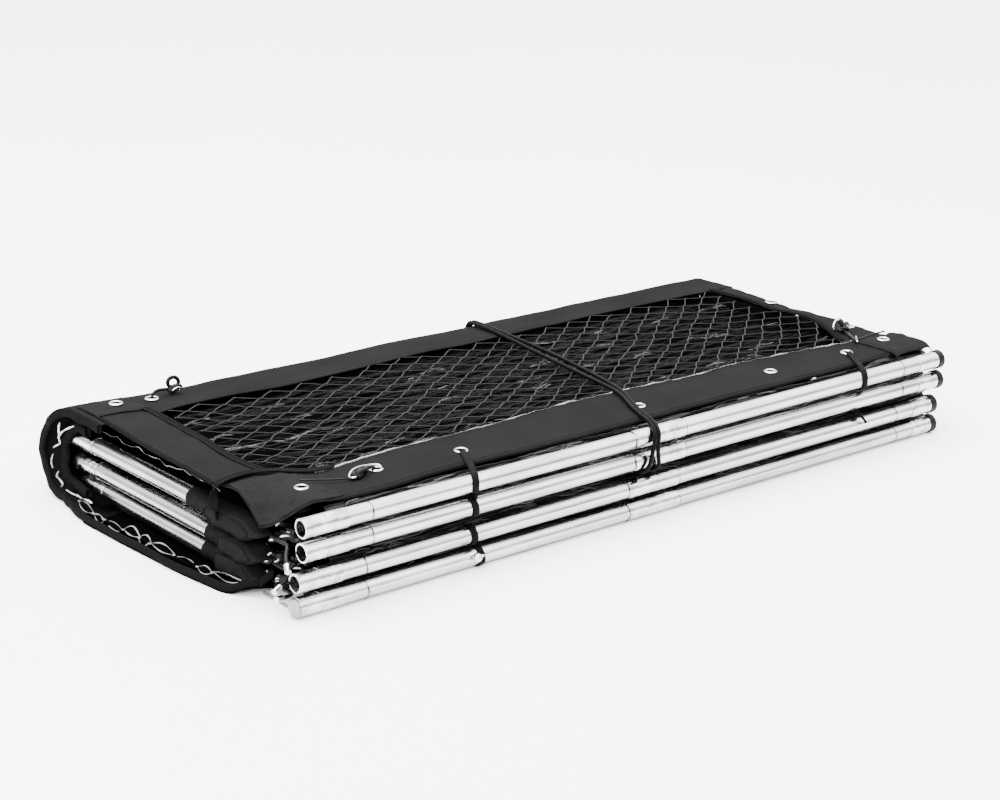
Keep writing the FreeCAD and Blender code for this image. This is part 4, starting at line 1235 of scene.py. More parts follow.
@dataclass
class InnerLayers:
    """Cloth borders of the hidden layers, and the crumpled edges that show between the long poles, in darker
    cloth whose tone is painted shade.
    """

    finishes: Finishes
    fold_z: float
    rim_x: tuple = ((-136.0, -393.0), (-129.0, -402.0), (-115.0, -411.5), (-88.0, -417.5), (-37.0, -422.0),
                    (20.0, -425.0), (80.0, -427.0), (104.0, -427.0), (160.0, -416.0))

    def build(self) -> None:
        """Makes each hidden border as strips, then the crumpled front edges."""
        for layer, body in ((2, Body.UPPER), (3, Body.LOWER)):
            low, high = (np.array(c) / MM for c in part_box("deck_%d_border" % layer))
            self.border(layer, body, low, high, float(low[2] + high[2]) / 2)
        self.bottom()
        self.crumple("front_crumple_upper", Body.UPPER, 47.5, 2 * self.fold_z - 5.5, 131)
        self.crumple("front_crumple_lower", Body.LOWER, 5.0, 40.0, 137)

    def border(self, layer: int, body: Body, low: np.ndarray, high: np.ndarray, level: float) -> None:
        """The four strips of one inner layer."""
        x0, x1, y0, y1 = low[0] + 30.0, high[0] - 4.0, low[1] + 4.0, high[1]
        spans = {"front": (x0 + 16, x1, y0, y0 + 62), "back": (x0, x1, y1 - 48, y1),
                 "left": (x0, x0 + 28, y0 + 40, y1 - 44), "right": (x1 - 34, x1, y0 + 58, y1 - 44)}
        for side, (a, b, c, d) in spans.items():
            xx, yy = np.meshgrid(np.linspace(a, b, max(12, int((b - a) / 5))),
                                 np.linspace(c, d, max(12, int((d - c) / 5))), indexing="ij")
            z = level + 0.6 * ripple(xx, yy, 90 + layer, 55.0)
            self.lay("layer_%d_%s_border" % (layer, side), np.stack([xx, yy, z], axis=-1), body,
                     ("deck_%d_border" % layer,) if side == "front" else ())

    def lay(self, name: str, xyz: np.ndarray, body: Body, nodes: tuple = ()) -> None:
        """One limp strip."""
        piece = thicken(sheet_shape(xyz, xyz[..., :2]).to_object(name), 0.9, 0.0)
        # The hidden strips take the darker cloth, whose low tone is painted shade.
        finish_piece(piece, self.finishes.shaded_cloth, body, nodes)

    def bottom(self) -> None:
        """Bottom layer: strips on the floor, its left edge pushed out and turned up at the front."""
        u = np.linspace(0, 1, 34)[:, None]
        y = np.linspace(-136.0, 106.0, 90)[None] + 0 * u
        x = table(y, self.rim_x) * (1 - u) + -345.0 * u
        curl = 9.0 * smooth((-112.0 - y) / 24.0) * smooth((0.6 - u) / 0.6)
        self.lay("bottom_left_border",
                 np.stack([x, y, 0.75 + 0.3 * (1 + ripple(x, y, 94, 50.0)) + curl], axis=-1),
                 Body.LOWER, ("deck_4_border",))
        spans = {"front": (-362.0, 396.0, -177.0, -104.0), "right": (352.0, 396.0, -104.0, 106.0),
                 "back": (-345.0, 396.0, 98.0, 118.0)}
        for name, (x0, x1, y0, y1) in spans.items():
            xx, yy = np.meshgrid(np.linspace(x0, x1, max(8, int((x1 - x0) / 5))), np.linspace(y0, y1, 16),
                                 indexing="ij")
            zz = 0.75 + 0.3 * (1 + ripple(xx, yy, 95, 60.0).clip(-1, 1))
            self.lay("bottom_%s_border" % name, np.stack([xx, yy, zz], axis=-1), Body.LOWER)
        net = KnottedNet(seed=44).shape(
            (-346.0, 354.0, -106.0, 106.0),
            lambda x, y: np.minimum(np.minimum(x + 346, 354 - x), np.minimum(y + 106, 106 - y)),
            lambda x, y: np.maximum(1.6 + 0.4 * ripple(x, y, 45, 60.0), 1.1))
        finish_piece(net.to_object("bottom_net"), self.finishes.net, Body.LOWER, ("deck_4_net",))

    def crumple(self, name: str, body: Body, low: float, high: float, seed: int) -> None:
        """Creased cloth and net that fills the depth behind the long poles, darker as painted shade, with
        threads on it painted bright as highlights.
        """
        x = np.linspace(-352.0, 392.0, 420)
        v = np.linspace(0, 1, 60)
        xx, vv = np.meshgrid(x, v, indexing="ij")
        z = low + (high + 3.4 * smooth((xx - 295.0) / 45.0) * (high > 60) - low) * vv
        drift = z + 4.0 * ripple(xx, z, seed, 200.0)
        crease = np.sin(drift * 2 * math.pi / 9.0) + 0.7 * np.sin(drift * 2 * math.pi / 4.1 + 2.0)
        y = -173.5 + 1.5 * crease + 1.3 * ripple(xx * 0.35, z, seed + 1, 9.0)
        y = y + 4.5 * vv * (1 if high > 60 else 0)
        y = np.clip(y, -179.5, -160.0)
        grid = np.stack([xx, y, z], axis=-1)
        piece = thicken(sheet_shape(grid, np.stack([xx, z], axis=-1)).to_object(name), 0.8, 0.0)
        finish_piece(piece, self.finishes.crumple, body)
        rng = np.random.default_rng(seed)
        count = 260
        span = rng.uniform(5.0, 34.0, count)
        x0 = rng.uniform(-352.0, 388.0 - span)
        home = rng.integers(0, 60, count)
        x0 = np.clip(x0[home] + rng.normal(0, 16.0, count), -352.0, 388.0 - span)
        z0 = np.clip(rng.uniform(low + 2, high - 1, 60)[home] + rng.normal(0, 1.5, count), low, high)
        t = np.linspace(0, 1, 8)[None]
        xs = x0[:, None] + span[:, None] * t
        zs = z0[:, None] + rng.normal(0.0, 0.07, (count, 1)) * (xs - x0[:, None])
        zs = zs + 0.5 * np.sin(t * 7 + x0[:, None])
        zs = np.clip(zs, low, high)
        drift = zs + 4.0 * ripple(xs, zs, seed, 200.0)
        ridge = np.sin(drift * 2 * math.pi / 9.0) + 0.7 * np.sin(drift * 2 * math.pi / 4.1 + 2.0)
        ys = -175.0 + 1.5 * ridge + 4.5 * (zs - low) / (high - low) * (1 if high > 60 else 0) - 0.8
        thick = rng.uniform(0.2, 0.6, (count, 1)) * np.array([[0.3, 0.8, 1, 0.9, 1, 0.9, 0.7, 0.3]])
        piece = strands(np.stack([xs, np.clip(ys, -180.8, -160.0), zs], axis=-1), thick, 5,
                        ref=(0.0, 0.1, 1.0))
        finish_piece(piece.to_object(name + "_glint_threads"), self.finishes.dim_glint, body)


# ------------------------------------------------------------------ the left end
@dataclass(frozen=True)
class Pocket:
    """One corner pocket: where its sleeve starts on the short pole and how its pillow lies."""

    layer: int
    side: str
    x: float
    z: float
    start_y: float
    end_y: float = -150.0
    rise: float = 0.0
    half_high: float = 9.0
    half_wide: float = 11.0
    out: float = 0.0


@dataclass
class LeftEnd:
    """What shows at the open left end: cloth pockets on the short poles, the rim and loose net."""

    finishes: Finishes
    layers: InnerLayers
    seed: int = 101

    def build(self) -> None:
        """Makes the pockets, the bottom rim and the loose net."""
        shapes = {1: {"start_y": -20.0, "end_y": -152.0, "half_wide": 9.4, "half_high": 8.8},
                  2: {"start_y": -24.0, "end_y": -138.0, "rise": -0.4, "half_high": 9.4, "out": -3.0},
                  3: {"start_y": -50.0, "end_y": -139.0, "rise": 3.3, "half_high": 9.6, "out": -6.0},
                  4: {"start_y": -42.0, "end_y": -135.0, "rise": 4.5, "half_high": 11.5, "out": -7.0}}
        for layer in ALL_LAYERS:
            body = Body.UPPER if layer in (1, 2) else Body.LOWER
            low, high = (np.array(c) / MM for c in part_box("corner_boots_%d" % layer))
            z, r = float(low[2] + high[2]) / 2, float(high[2] - low[2]) / 2
            plain = {"start_y": -82.0, "half_high": 7.5}
            left = Pocket(layer, "left", low[0] + r, z, **{**plain, **shapes[layer]})
            for pocket in (left, Pocket(layer, "right", high[0] - r, z, **plain)):
                self.pocket(pocket, body)
        self.rim()
        self.loose_net()
        LOG.info("left end made")

    def pocket(self, p: Pocket, body: Body) -> None:
        """A sleeve that fits the pole, swells to a boxy pillow and closes in a flat seam.

        Each station is a superellipse of half widths a and b with exponent e: x = a * cos^(2/e), and
        z = b * sin^(2/e).
        """
        n, k = 70, 56
        t = np.linspace(0, 1, n)[:, None]
        angle = np.linspace(0, 2 * math.pi, k, endpoint=False)[None]
        grow = smooth((t - 0.16) / 0.3)
        close = smooth((t - 0.79) / 0.21)
        e = 2.0 + 1.4 * grow * (1 - 0.4 * close)
        c, s = np.cos(angle), np.sin(angle)
        fx, fz = np.sign(c) * np.abs(c) ** (2 / e), np.sign(s) * np.abs(s) ** (2 / e)
        wide = 8.95 + (p.half_wide - 8.95) * grow
        tall = (8.95 + (p.half_high - 8.95) * grow) * (1 - 0.86 * close)
        wide = wide * (1 - 0.3 * smooth((t - 0.9) / 0.1))
        length = p.start_y - p.end_y
        crease = 0.8 * ripple(t * length + 0 * angle, 14.0 * angle + t * 25.0, self.seed + p.layer * 3, 26.0)
        crease = crease + 0.9 * np.abs(np.sin(t * 8.0 + angle * 1.5 + p.layer)) ** 6
        cuff = 0.7 * (np.abs(t - 0.03) < 0.025) - 0.5 * np.exp(-((t - 0.17) / 0.012) ** 2)
        x = p.x + p.out * grow + (wide + crease * grow + cuff) * fx
        z = p.z + p.rise * grow + (tall + 0.7 * crease * grow * (1 - close) + cuff) * fz
        y = p.start_y - length * t + 0 * angle
        z = np.maximum(z, 1.9 + 0.2 * s)
        verts = np.stack([x, y, z], axis=-1)
        quads = grid_quads(n, k, False, True)[:, ::-1]
        j = np.arange(k)
        j2 = (j + 1) % k
        base = n * k
        tris = np.concatenate([np.stack([np.full(k, base), j2, j], axis=1),
                               np.stack([np.full(k, base + 1), (n - 1) * k + j, (n - 1) * k + j2], axis=1)])
        hubs = np.stack([verts[0].mean(axis=0), verts[-1].mean(axis=0)])
        uv = np.stack([t * length + 0 * angle, 9.0 * angle + 0 * t], axis=-1).reshape(-1, 2)
        shape = Shape(np.vstack([verts.reshape(-1, 3), hubs]), quads, tris, np.vstack([uv, np.zeros((2, 2))]))
        piece = shape.to_object("corner_pocket_%d_%s" % (p.layer, p.side))
        finish_piece(piece, self.finishes.pocket, body,
                     ("corner_boots_%d" % p.layer,) if p.side == "left" else ())
        if p.side == "left" and p.layer > 1:
            self.piping(p, verts, body)

    def piping(self, p: Pocket, verts: np.ndarray, body: Body) -> None:
        """Raised seams along the pillow's outer face: an oval, and a line above and below it."""
        n, k = verts.shape[:2]
        turn = np.linspace(0, 2 * math.pi, 80)
        rows = np.clip(((0.30 + 0.62 * (0.5 - 0.5 * np.cos(turn))) * n).astype(int), 0, n - 2)
        spread = np.sin(turn) * 6.0
        cols = (k // 2 + np.round(spread)).astype(int) % k
        loop = verts[rows, cols] + np.array([-0.35, 0, 0.1])
        whole = rod(resample(loop, 1.4), 0.55, 6, ref=(1.0, 0.13, 0.21))
        for col in (k // 2 - 11, k // 2 + 11):
            line = verts[10:-4, col % k] + np.array([-0.2, 0, 0.0])
            whole = whole.joined(rod(resample(line, 1.6), 0.6, 6, ref=(1.0, 0.13, 0.21)))
        finish_piece(whole.to_object("corner_pocket_%d_seams" % p.layer), self.finishes.binding,
                     body)

    def rim(self) -> None:
        """Layered hems that lie along the bottom left edge and turn up at the front corner."""
        y = np.linspace(150.0, -118.0, 90)
        line = np.stack([table(y, self.layers.rim_x) + 2.6, y, np.full_like(y, 4.3)], axis=1)
        line = np.vstack([line, [(-404.0, -128.0, 6.5), (-398.5, -135.0, 11.0), (-393.0, -138.0, 16.5),
                                 (-386.0, -140.0, 20.5)]])
        line = spline_line(line[::4].tolist() + line[-3:].tolist(), 2.5)
        s = np.arange(len(line)) * 2.5
        line[:, 0] += 0.9 * ripple(s, s * 0, 111, 60.0)
        line[:, 2] = np.maximum(line[:, 2] + 0.3 * ripple(s, s * 0, 112, 40.0), 4.2)
        across = unit(np.cross(np.gradient(line, axis=0), (0, 0, -1.0)))
        up = np.array([0.0, 0.0, 1.0])
        shape = profiled(line, oblong(4.4, 7.8, 2.0, 5), across, up)
        finish_piece(shape.to_object("bottom_left_rim"), self.finishes.binding, Body.LOWER)
        second = line[8:-6] + np.array([6.8, 0, 1.2])
        second[:, 2] += 0.7 * ripple(s[8:-6], s[8:-6] * 0, 113, 30.0)
        # The under hem takes the darker cloth, whose low tone is painted shade.
        shape = profiled(second, oblong(3.4, 6.4, 1.5, 4), across[8:-6], up)
        finish_piece(shape.to_object("bottom_left_under_rim"), self.finishes.shaded_cloth, Body.LOWER)

    def loose_net(self) -> None:
        """Net that hangs in shallow uneven loops between the short poles and the rim, painted pale as
        highlights on the black net.
        """
        rng = np.random.default_rng(self.seed)
        ys = 136.0 - np.concatenate([[0], np.cumsum(rng.uniform(9.0, 38.0, 14))])
        ys = ys[ys > -132.0]
        paths, thick = [], []
        for start, end in zip(ys[:-1], ys[1:]):
            t = np.linspace(0, 1, 16)
            for flip in (1.0, -1.0)[: 1 if rng.random() < 0.3 else 2]:
                y = start + (end - start) * t + rng.normal(0, 0.5) + 2.0 * np.sin(t * math.pi) * flip
                high = np.sin(t * math.pi) ** rng.uniform(0.6, 1.5) * rng.uniform(0.6, 5.0)
                z = 9.2 + high * flip + 1.2 * math.sin(start * 0.05)
                x = table(y, self.layers.rim_x) + 8.5 + 2.6 * flip * np.sin(t * math.pi) + rng.normal(0, 0.5)
                paths.append(np.stack([x, y, np.maximum(z, 5.0)], axis=1))
                thick.append(rng.uniform(0.16, 0.5) * (1 + 0.6 * np.sin(t * rng.uniform(4, 11) + start)))
        shape = strands(np.array(paths), np.array(thick), 6, ref=(1.0, 0.0, 0.1))
        rims = [table(np.array(y), self.layers.rim_x) for y in ys]
        tips = np.array([[(rim + 8.0, y + 2.6, 8.4), (rim + 7.6, y, 9.4), (rim + 8.0, y - 2.6, 10.2)]
                         for rim, y in zip(rims, ys)])
        shape = shape.joined(strands(tips, np.array([[0.35, 1.0, 0.35]]) * np.ones((len(ys), 1)), 6,
                                     ref=(1.0, 0.0, 0.1)))
        finish_piece(shape.to_object("loose_net_left"), self.finishes.pale_edge_and_glint, Body.LOWER)
        y = np.linspace(150.0, -86.0, 330)
        broken = 0.2 * smooth(ripple(y, y * 0, 141, 30.0) * 2.2 + 0.4) + 0.06
        z = 2 * self.layers.fold_z - 5.2 + 1.5 * ripple(y, y * 0, 142, 26.0)
        line = np.stack([-399.5 + 1.0 * ripple(y, y * 0, 143, 40.0), y, z], axis=1)
        finish_piece(rod(line, broken, 6, ref=(1.0, 0.0, 0.1)).to_object("hem_thread_left"),
                     self.finishes.pale_edge_and_glint,
                     Body.UPPER)
        cord = spline_line([(-389.0, -132.0, 2.2), (-389.5, -150.0, 1.7), (-389.0, -170.0, 1.7)], 2.0)
        finish_piece(rod(cord, 1.3, 10).to_object("floor_thread_left"), self.finishes.pale_edge_and_glint,
                     Body.LOWER)
        self.tangle()

    def tangle(self) -> None:
        """Creased bits of cord, darker as painted shade, and bits of thread painted bright as highlights,
        between the pockets and the long poles' ends.
        """
        rng = np.random.default_rng(self.seed + 7)
        for body, z0, z1, name in ((Body.UPPER, 47.0, 72.0, "corner_tangle_upper"),
                                   (Body.LOWER, 8.0, 39.0, "corner_tangle_lower")):
            dark, pale = None, None
            for i in range(16):
                at = np.array([rng.uniform(-391, -362), rng.uniform(-158, -132), rng.uniform(z0 + 3, z1 - 3)])
                way = unit(np.array([rng.uniform(0.2, 1.0), rng.uniform(-1.0, 0.3), rng.uniform(-0.7, 0.5)]))
                side = unit(np.cross(way, rng.normal(size=3)))
                size = rng.uniform(9.0, 17.0)
                points = [at, at + way * size * 0.4 + side * 3.5, at + way * size * 0.8 - side * 3.0,
                          at + way * size]
                points = [(float(np.clip(x, -395, -356)), float(np.clip(y, -172, -124)),
                           float(np.clip(z, z0, z1)))
                          for x, y, z in points]
                line = spline_line(points, 1.0)
                fold = rod(line, 2.6 + 1.6 * np.sin(np.linspace(0, math.pi, len(line))), 10, flat=0.55)
                dark = fold if dark is None else dark.joined(fold)
                if i % 2 == 0:
                    bit = rod(line[: max(5, len(line) // 2)] + np.array([-2.0, -2.2, 1.0]),
                              np.interp(np.arange(max(5, len(line) // 2)), (0, 2, 6), (0.2, 0.9, 0.5)), 7)
                    pale = bit if pale is None else pale.joined(bit)
            finish_piece(dark.to_object(name), self.finishes.crumple, body)
            finish_piece(pale.to_object(name + "_glint_threads"), self.finishes.glint, body)


# ------------------------------------------------------------------ eyelets, bands and cords
@dataclass
class Cord:
    """A free cord: its line is one spline through the same control points as its solid's."""

    name: str
    points: list
    diameter: float
    body: Body
    material: bpy.types.Material
    lay: str = "loose"
    far_end: str = "bare"
    nodes: tuple = ()
    with_pieces: tuple = ()

    def build(self) -> None:
        """Makes the cord and logs its length."""
        piece = spline_curve(self.name, self.points, self.diameter / 2)
        length = float(np.linalg.norm(np.diff(spline_line(self.points), axis=0), axis=1).sum()) * MM
        finish_piece(piece, self.material, self.body, self.nodes)
        LOG.info("%s is %.0f mm long", self.name, length / MM)


@dataclass
class Trim:
    """Eyelets, elastic bands, the tie, loose knotted cords."""

    surface: TopSurface
    deck: TopDeck
    finishes: Finishes
    fold_z: float
    band_width: float = 6.4
    band_t: float = 1.3
    pole_y: float = -190.0
    tube_r: float = 8.0

    def build(self) -> None:
        """Makes all the trim."""
        self.cords()
        self.eyelets()
        self.bands()
        self.knots()
        LOG.info("trim made")

    def cords(self) -> None:
        """The doubled tie and the corner cords."""
        f = self.finishes
        over = 2 * self.fold_z + 2.03
        spread = (2.3, 2.3, 2.3, 2.3, 6.4, 4.4, 2.2, 2.1, 2.1, 2.4, 8.5, 8.5)
        way = ((70.0, 177.0, over - 18.0), (70.4, 174.0, over + 0.6), (70.6, 160.0, over + 1.6),
               (70.0, 122.0, over + 0.3), (57.5, 22.0, over), (43.0, -65.0, over), (33.0, -108.0, over + 0.5),
               (9.5, -150.0, over + 0.5), (-9.0, -202.0, over + 0.4), (-12.0, -202.0, 66.0),
               (-13.5, -202.0, 44.4), (-13.5, -182.0, 44.4))
        for side, name in ((-1.0, "tie_cord_left"), (1.0, "tie_cord_right")):
            points = [(x + side * gap, y, z) for (x, y, z), gap in zip(way, spread)]
            Cord(name, points, 4.0, Body.UPPER, f.cord_cad, "taut", "object",
                 ("tie_cord",) if side < 0 else ()).build()
        steps = {2: (Body.UPPER, ((-8.0, -16.0, -5.0), (-12.0, -24.0, -9.0)), ("corner_cord_2",),
                     "cord_crimp_2"),
                 3: (Body.LOWER, ((-9.0, -14.0, -3.5), (-16.5, -17.0, -5.5)), ("corner_cords_3_4",),
                     "cord_crimps_3_4"),
                 4: (Body.LOWER, ((-7.0, -14.0, 1.0), (-16.0, -17.5, 3.0)), (), "cord_crimps_3_4")}
        for layer, (body, moves, nodes, crimp) in steps.items():
            low, high = (np.array(c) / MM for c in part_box("corner_boots_%d" % layer))
            z, r = float(low[2] + high[2]) / 2, float(high[2] - low[2]) / 2
            x, y = float(low[0]) + r, float(low[1])
            ways = [(x, y + 16.0, z), (x, y, z), (x, y - 8.0, z)]
            ways = ways + [(x + i, y + j, z + k) for i, j, k in moves]
            Cord("corner_cord_%d_cover" % layer, ways, 3.6, body, f.glossy, "loose", "fitting", nodes,
                 (crimp,)).build()

    def eyelets(self) -> None:
        """Rolled rings: an outline that swells on top, dips to the barrel and has a washer below."""
        a = np.linspace(0, 2 * math.pi, 18, endpoint=False)
        profile = np.stack([5.35 + 1.35 * np.cos(a), 1.1 * np.sin(a) - 0.2 * (np.cos(a) > 0)], axis=1)
        at = np.array(self.deck.eyelets)
        z = self.surface.height(at[:, 0], at[:, 1]) + 0.75
        z = z + np.where(at[:, 0] > 345, np.where(at[:, 1] < -100, 3.0, 0.9), 0.0)
        z = z + np.where(at[:, 1] > 100, 1.2, 0)
        z = z + np.where((at[:, 1] > 100) & (at[:, 0] < -345), 1.2, 0.0)
        ring = lathe(profile, np.column_stack([at, z]), 30)
        finish_piece(ring.to_object("top_eyelets"), self.finishes.nickel, Body.UPPER,
                     ("eyelets_upper",))
        # A closed cup and washer under each ring, in the darker cloth: the cup's floor shuts the hole, and
        # its darkness is painted shade inside the hole.
        t = np.linspace(0, 1, 8)
        cup = np.stack([np.concatenate([[4.6, 4.7], 4.9 * (1 - t)]),
                        np.concatenate([[-0.3, -2.6], -3.0 + 0 * t])], axis=1)
        back = lathe(np.vstack([cup[:-1], [[0.05, -3.0], [0.05, -3.3], [5.2, -3.1], [5.2, -0.3]]]),
                     np.column_stack([at, z]), 24)
        finish_piece(back.to_object("eyelet_hole_shade"), self.finishes.shaded_cloth, Body.UPPER)

    def bands(self) -> None:
        """Flat elastic loops round the poles, through their eyelets where they have one."""
        upper = [self.band(1, -212.0, -187.0), self.band(1, 277.5, 308.5), self.band(2, -216.0, None),
                 self.link(-214.5, 64.5, 67.6, 2.4)]
        lower = [self.band(3, -217.0, None), self.band(4, -209.0, None), self.link(-216.5, 41.0, 38.5, 2.6),
                 self.loose_band()]
        for name, parts, body in (("lacing_bands_upper", upper, Body.UPPER),
                                  ("lacing_bands_lower", lower, Body.LOWER)):
            whole = parts[0]
            for part in parts[1:]:
                whole = whole.joined(part)
            finish_piece(whole.to_object(name + "_elastic"), self.finishes.elastic, body,
                         (name,))

    def link(self, x: float, z0: float, z1: float, radius: float) -> Shape:
        """A short twist of elastic between the bands of neighbouring poles."""
        line = spline_line([(x, self.pole_y - 4.0, z0), (x + 1.2, self.pole_y - 5.5, (z0 + z1) / 2),
                            (x - 0.6, self.pole_y - 4.0, z1)], 0.6)
        return rod(line, radius, 10, ref=(1.0, 0.2, 0.1), flat=0.6)

    def loose_band(self) -> Shape:
        """The band that has come off pole 3: a strap that ends in a knot above the pole."""
        x, z = 268.0, 41.9
        strap = spline_line([(x, -140.0, z), (x, -168.0, z + 0.2), (x, -184.0, z + 0.8),
                             (x - 0.5, -196.0, z + 0.6)], 1.5)
        heading = unit(np.gradient(strap, axis=0))
        across = np.array([1.0, 0.0, 0.0])
        shape = profiled(strap, oblong(4.8, 1.1, 0.5, 3), across, np.cross(across, heading))
        turn = np.linspace(0, 2 * math.pi, 70)
        knot = np.stack([x + (np.sin(turn) + 2 * np.sin(2 * turn)) * 1.2,
                         -195.0 + (np.cos(turn) - 2 * np.cos(2 * turn)) * 0.9,
                         z + 0.9 - np.sin(3 * turn) * 1.3], axis=1)[:-2]
        tail = spline_line([(x + 1, -197.5, z), (x + 3.5, -200.0, z - 2.5), (x + 6.0, -201.0, z - 7.5)], 1.0)
        shape = shape.joined(rod(knot, 1.5, 9, ref=(0.31, 0.17, 0.94)))
        return shape.joined(rod(tail, 1.3, 8, ref=(1.0, 0.2, 0.1)))

    def band(self, layer: int, x: float, eyelet_x: float | None) -> Shape:
        """One band: three quarters round the pole, then on to the eyelet or to the border behind."""
        low, high = (np.array(c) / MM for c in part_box("pole_%d_left_tube" % layer))
        axis_z = float(low[2] + high[2]) / 2
        r = self.tube_r + 0.12 + self.band_t / 2
        if eyelet_x is None:
            a = np.linspace(0, 2 * math.pi, 72, endpoint=False)
            y, z = self.pole_y + r * np.cos(a), axis_z + r * np.sin(a)
            xs = x + 0.5 * np.sin(a * 2)
            radial = np.stack([0 * a, np.cos(a), np.sin(a)], axis=1)
            return profiled(np.stack([xs, y, z], axis=1), oblong(self.band_width, self.band_t, 0.5, 3)[::-1],
                            np.array([1.0, 0.0, 0.0]), radial, closed=True)
        a = np.linspace(math.radians(75), math.radians(290), 40)
        top_z = self.surface.level + 1.6
        y = np.concatenate([[-141.0, -142.5, -150.0, -163.0, -172.0, -180.0], self.pole_y + r * np.cos(a),
                            [-181.0, -172.0, -160.0]])
        z = np.concatenate([[top_z - 4.5, top_z + 0.6, top_z + 0.8, top_z + 0.5, top_z + 0.3, top_z - 0.1],
                            axis_z + r * np.sin(a), [axis_z - 7.6, axis_z - 3.0, axis_z + 1.0]])
        xs = x + (eyelet_x - x) * np.clip((y - self.pole_y) / 49.0, -0.2, 1.0)
        path = resample(np.stack([xs, y, z], axis=1), 1.2)
        heading = unit(np.gradient(path, axis=0))
        across = unit(np.cross(heading, unit(np.cross(np.array([1.0, 0.0, 0.0]), heading))))
        across = np.where(across[:, :1] < 0, -across, across)
        return profiled(path, oblong(self.band_width, self.band_t, 0.5, 3)[::-1], across,
                        np.cross(heading, across))

    def knots(self) -> None:
        """Glossy cord tied at three eyelets, each with a bright wire loop."""
        level = self.surface.level
        f = self.finishes
        black = self.knot_back(level + 3.2).joined(self.knot_front(level + 0.6))
        black = black.joined(self.knot_right(level + 1.2))
        finish_piece(black.to_object("knotted_cords"), f.glossy, Body.UPPER,
                     ("eyelet_cords", "cord_knots"))
        finish_piece(self.wires(level).to_object("cord_wire_loops"), f.nickel, Body.UPPER)

    def knot_back(self, z: float) -> Shape:
        """Cord from the back eyelet to a knot whose loop stands up."""
        line = spline_line([(-326, 149, z - 1.5), (-326, 149, z + 3.0), (-318, 151, z + 5.5),
                            (-309, 153, z + 3.5), (-302, 154, z + 2.5)], 1.0)
        shape = rod(line, 1.5, 12, ref=(0.2, 1.0, 0.1))
        a = np.linspace(-1.2, 2 * math.pi - 1.9, 46)
        ring = np.stack([-298.5 + 5.4 * np.cos(a), 155.5 + 1.5 * np.sin(a * 0.5),
                         z + 7.8 + 4.8 * np.sin(a)], axis=1)
        knot = self.overhand((-298.5, 154.5, z + 2.0), (1.0, 0.1, 0.2), 1.6)
        return shape.joined(rod(ring, 1.9, 10, ref=(0.1, 1.0, 0.0))).joined(knot)

    def knot_front(self, z: float) -> Shape:
        """A bunched knot that lies beside the front eyelet, and its thin tail."""
        shape = self.overhand((-296.0, -138.5, z + 2.8), (0.92, 0.3, 0.05), 1.9)
        shape = shape.joined(rod(spline_line([(-273, -132, z - 1.0), (-277, -133, z + 3.5),
                                              (-287, -136, z + 4.5),
                                              (-300, -140, z + 3.0), (-307, -143, z + 1.6)], 0.8), 1.6, 12))
        return shape.joined(rod(spline_line([(-304, -143, z + 2.0), (-316, -140, z + 2.2),
                                             (-330, -131, z + 2.4),
                                             (-344, -121, z + 2.2)], 1.2), 0.75, 8))

    def knot_right(self, z: float) -> Shape:
        """A knot that stands above the net's corner, with tails to the front strip."""
        shape = self.overhand((361.5, -84.0, z + 4.0), (0.3, 0.2, 1.0), 1.7)
        shape = shape.joined(rod(spline_line([(380, -77, z - 1.0), (379, -78, z + 4.5), (370, -81, z + 6.5),
                                              (362, -84, z + 5.0)], 0.8), 1.5, 12, ref=(0.2, 1.0, 0.1)))
        shape = shape.joined(rod(spline_line([(359, -87, z + 3.0), (355, -98, z + 2.2), (349, -108, z + 2.0),
                                              (344, -117, z + 2.0), (340, -125, z + 1.6)], 1.0), 1.7, 12))
        shape = shape.joined(self.overhand((357.0, -91.0, z + 4.2), (0.5, -0.8, 0.2), 1.2))
        return shape.joined(rod(spline_line([(341, -122, z + 2.0), (350, -123, z + 3.4),
                                             (364, -120.5, z + 3.6),
                                             (388, -119.5, z + 3.2)], 1.2), 0.95, 10))

    @staticmethod
    def overhand(centre: tuple, along: tuple, size: float) -> Shape:
        """An overhand knot: a cord that winds round itself, drawn out along its cord."""
        way = unit(np.array(along, dtype=float))
        side = unit(np.cross(way, (0.13, 0.2, 1.0) if abs(way[2]) < 0.9 else (1.0, 0.2, 0.1)))
        up = np.cross(side, way)
        t = np.linspace(0, 2 * math.pi, 96)
        path = (np.array(centre, dtype=float) + ((np.sin(t) + 2 * np.sin(2 * t)) * 1.45 * size)[:, None] * way
                + ((np.cos(t) - 2 * np.cos(2 * t)) * 0.72 * size)[:, None] * side
                - (np.sin(3 * t) * 0.95 * size)[:, None] * up)
        return rod(path[:-2], 1.25 * size, 10, ref=tuple(way * 0.97 + np.array([0.1, 0.23, 0.05])))

    def wires(self, level: float) -> Shape:
        """Bright wire loops at the three knots."""
        lines = ([(-268.5, -133.5, level + 1.6), (-267.0, -129.0, level + 2.2), (-272.0, -126.6, level + 2.6),
                  (-281.0, -128.6, level + 4.4), (-291.0, -131.4, level + 6.4), (-300.0, -134.6, level + 6.0),
                  (-306.0, -138.6, level + 3.6), (-307.5, -143.0, level + 2.4),
                  (-303.0, -145.0, level + 3.4)],
                 [(374.0, -84.0, level + 2.6), (371.0, -80.5, level + 5.5), (366.5, -80.0, level + 11.5),
                  (361.5, -80.5, level + 14.5), (355.0, -81.0, level + 13.0), (351.0, -82.0, level + 8.0),
                  (350.6, -83.0, level + 4.0), (353.0, -84.0, level + 2.4)],
                 [(-303.0, 151.0, level + 4.2), (-300.5, 149.5, level + 7.0), (-296.0, 149.6, level + 7.6),
                  (-293.0, 151.0, level + 5.0), (-295.5, 151.6, level + 3.6)],
                 [(346.0, -118.0, level + 5.6), (340.0, -124.0, level + 6.4), (334.0, -131.0, level + 5.0)])
        whole = None
        for points in lines:
            line = spline_line(points, 0.8)
            part = rod(line, 0.85 + 0.2 * np.sin(np.linspace(0, 9, len(line))), 10, ref=(0.11, 0.93, 0.3))
            whole = part if whole is None else whole.joined(part)
        return whole


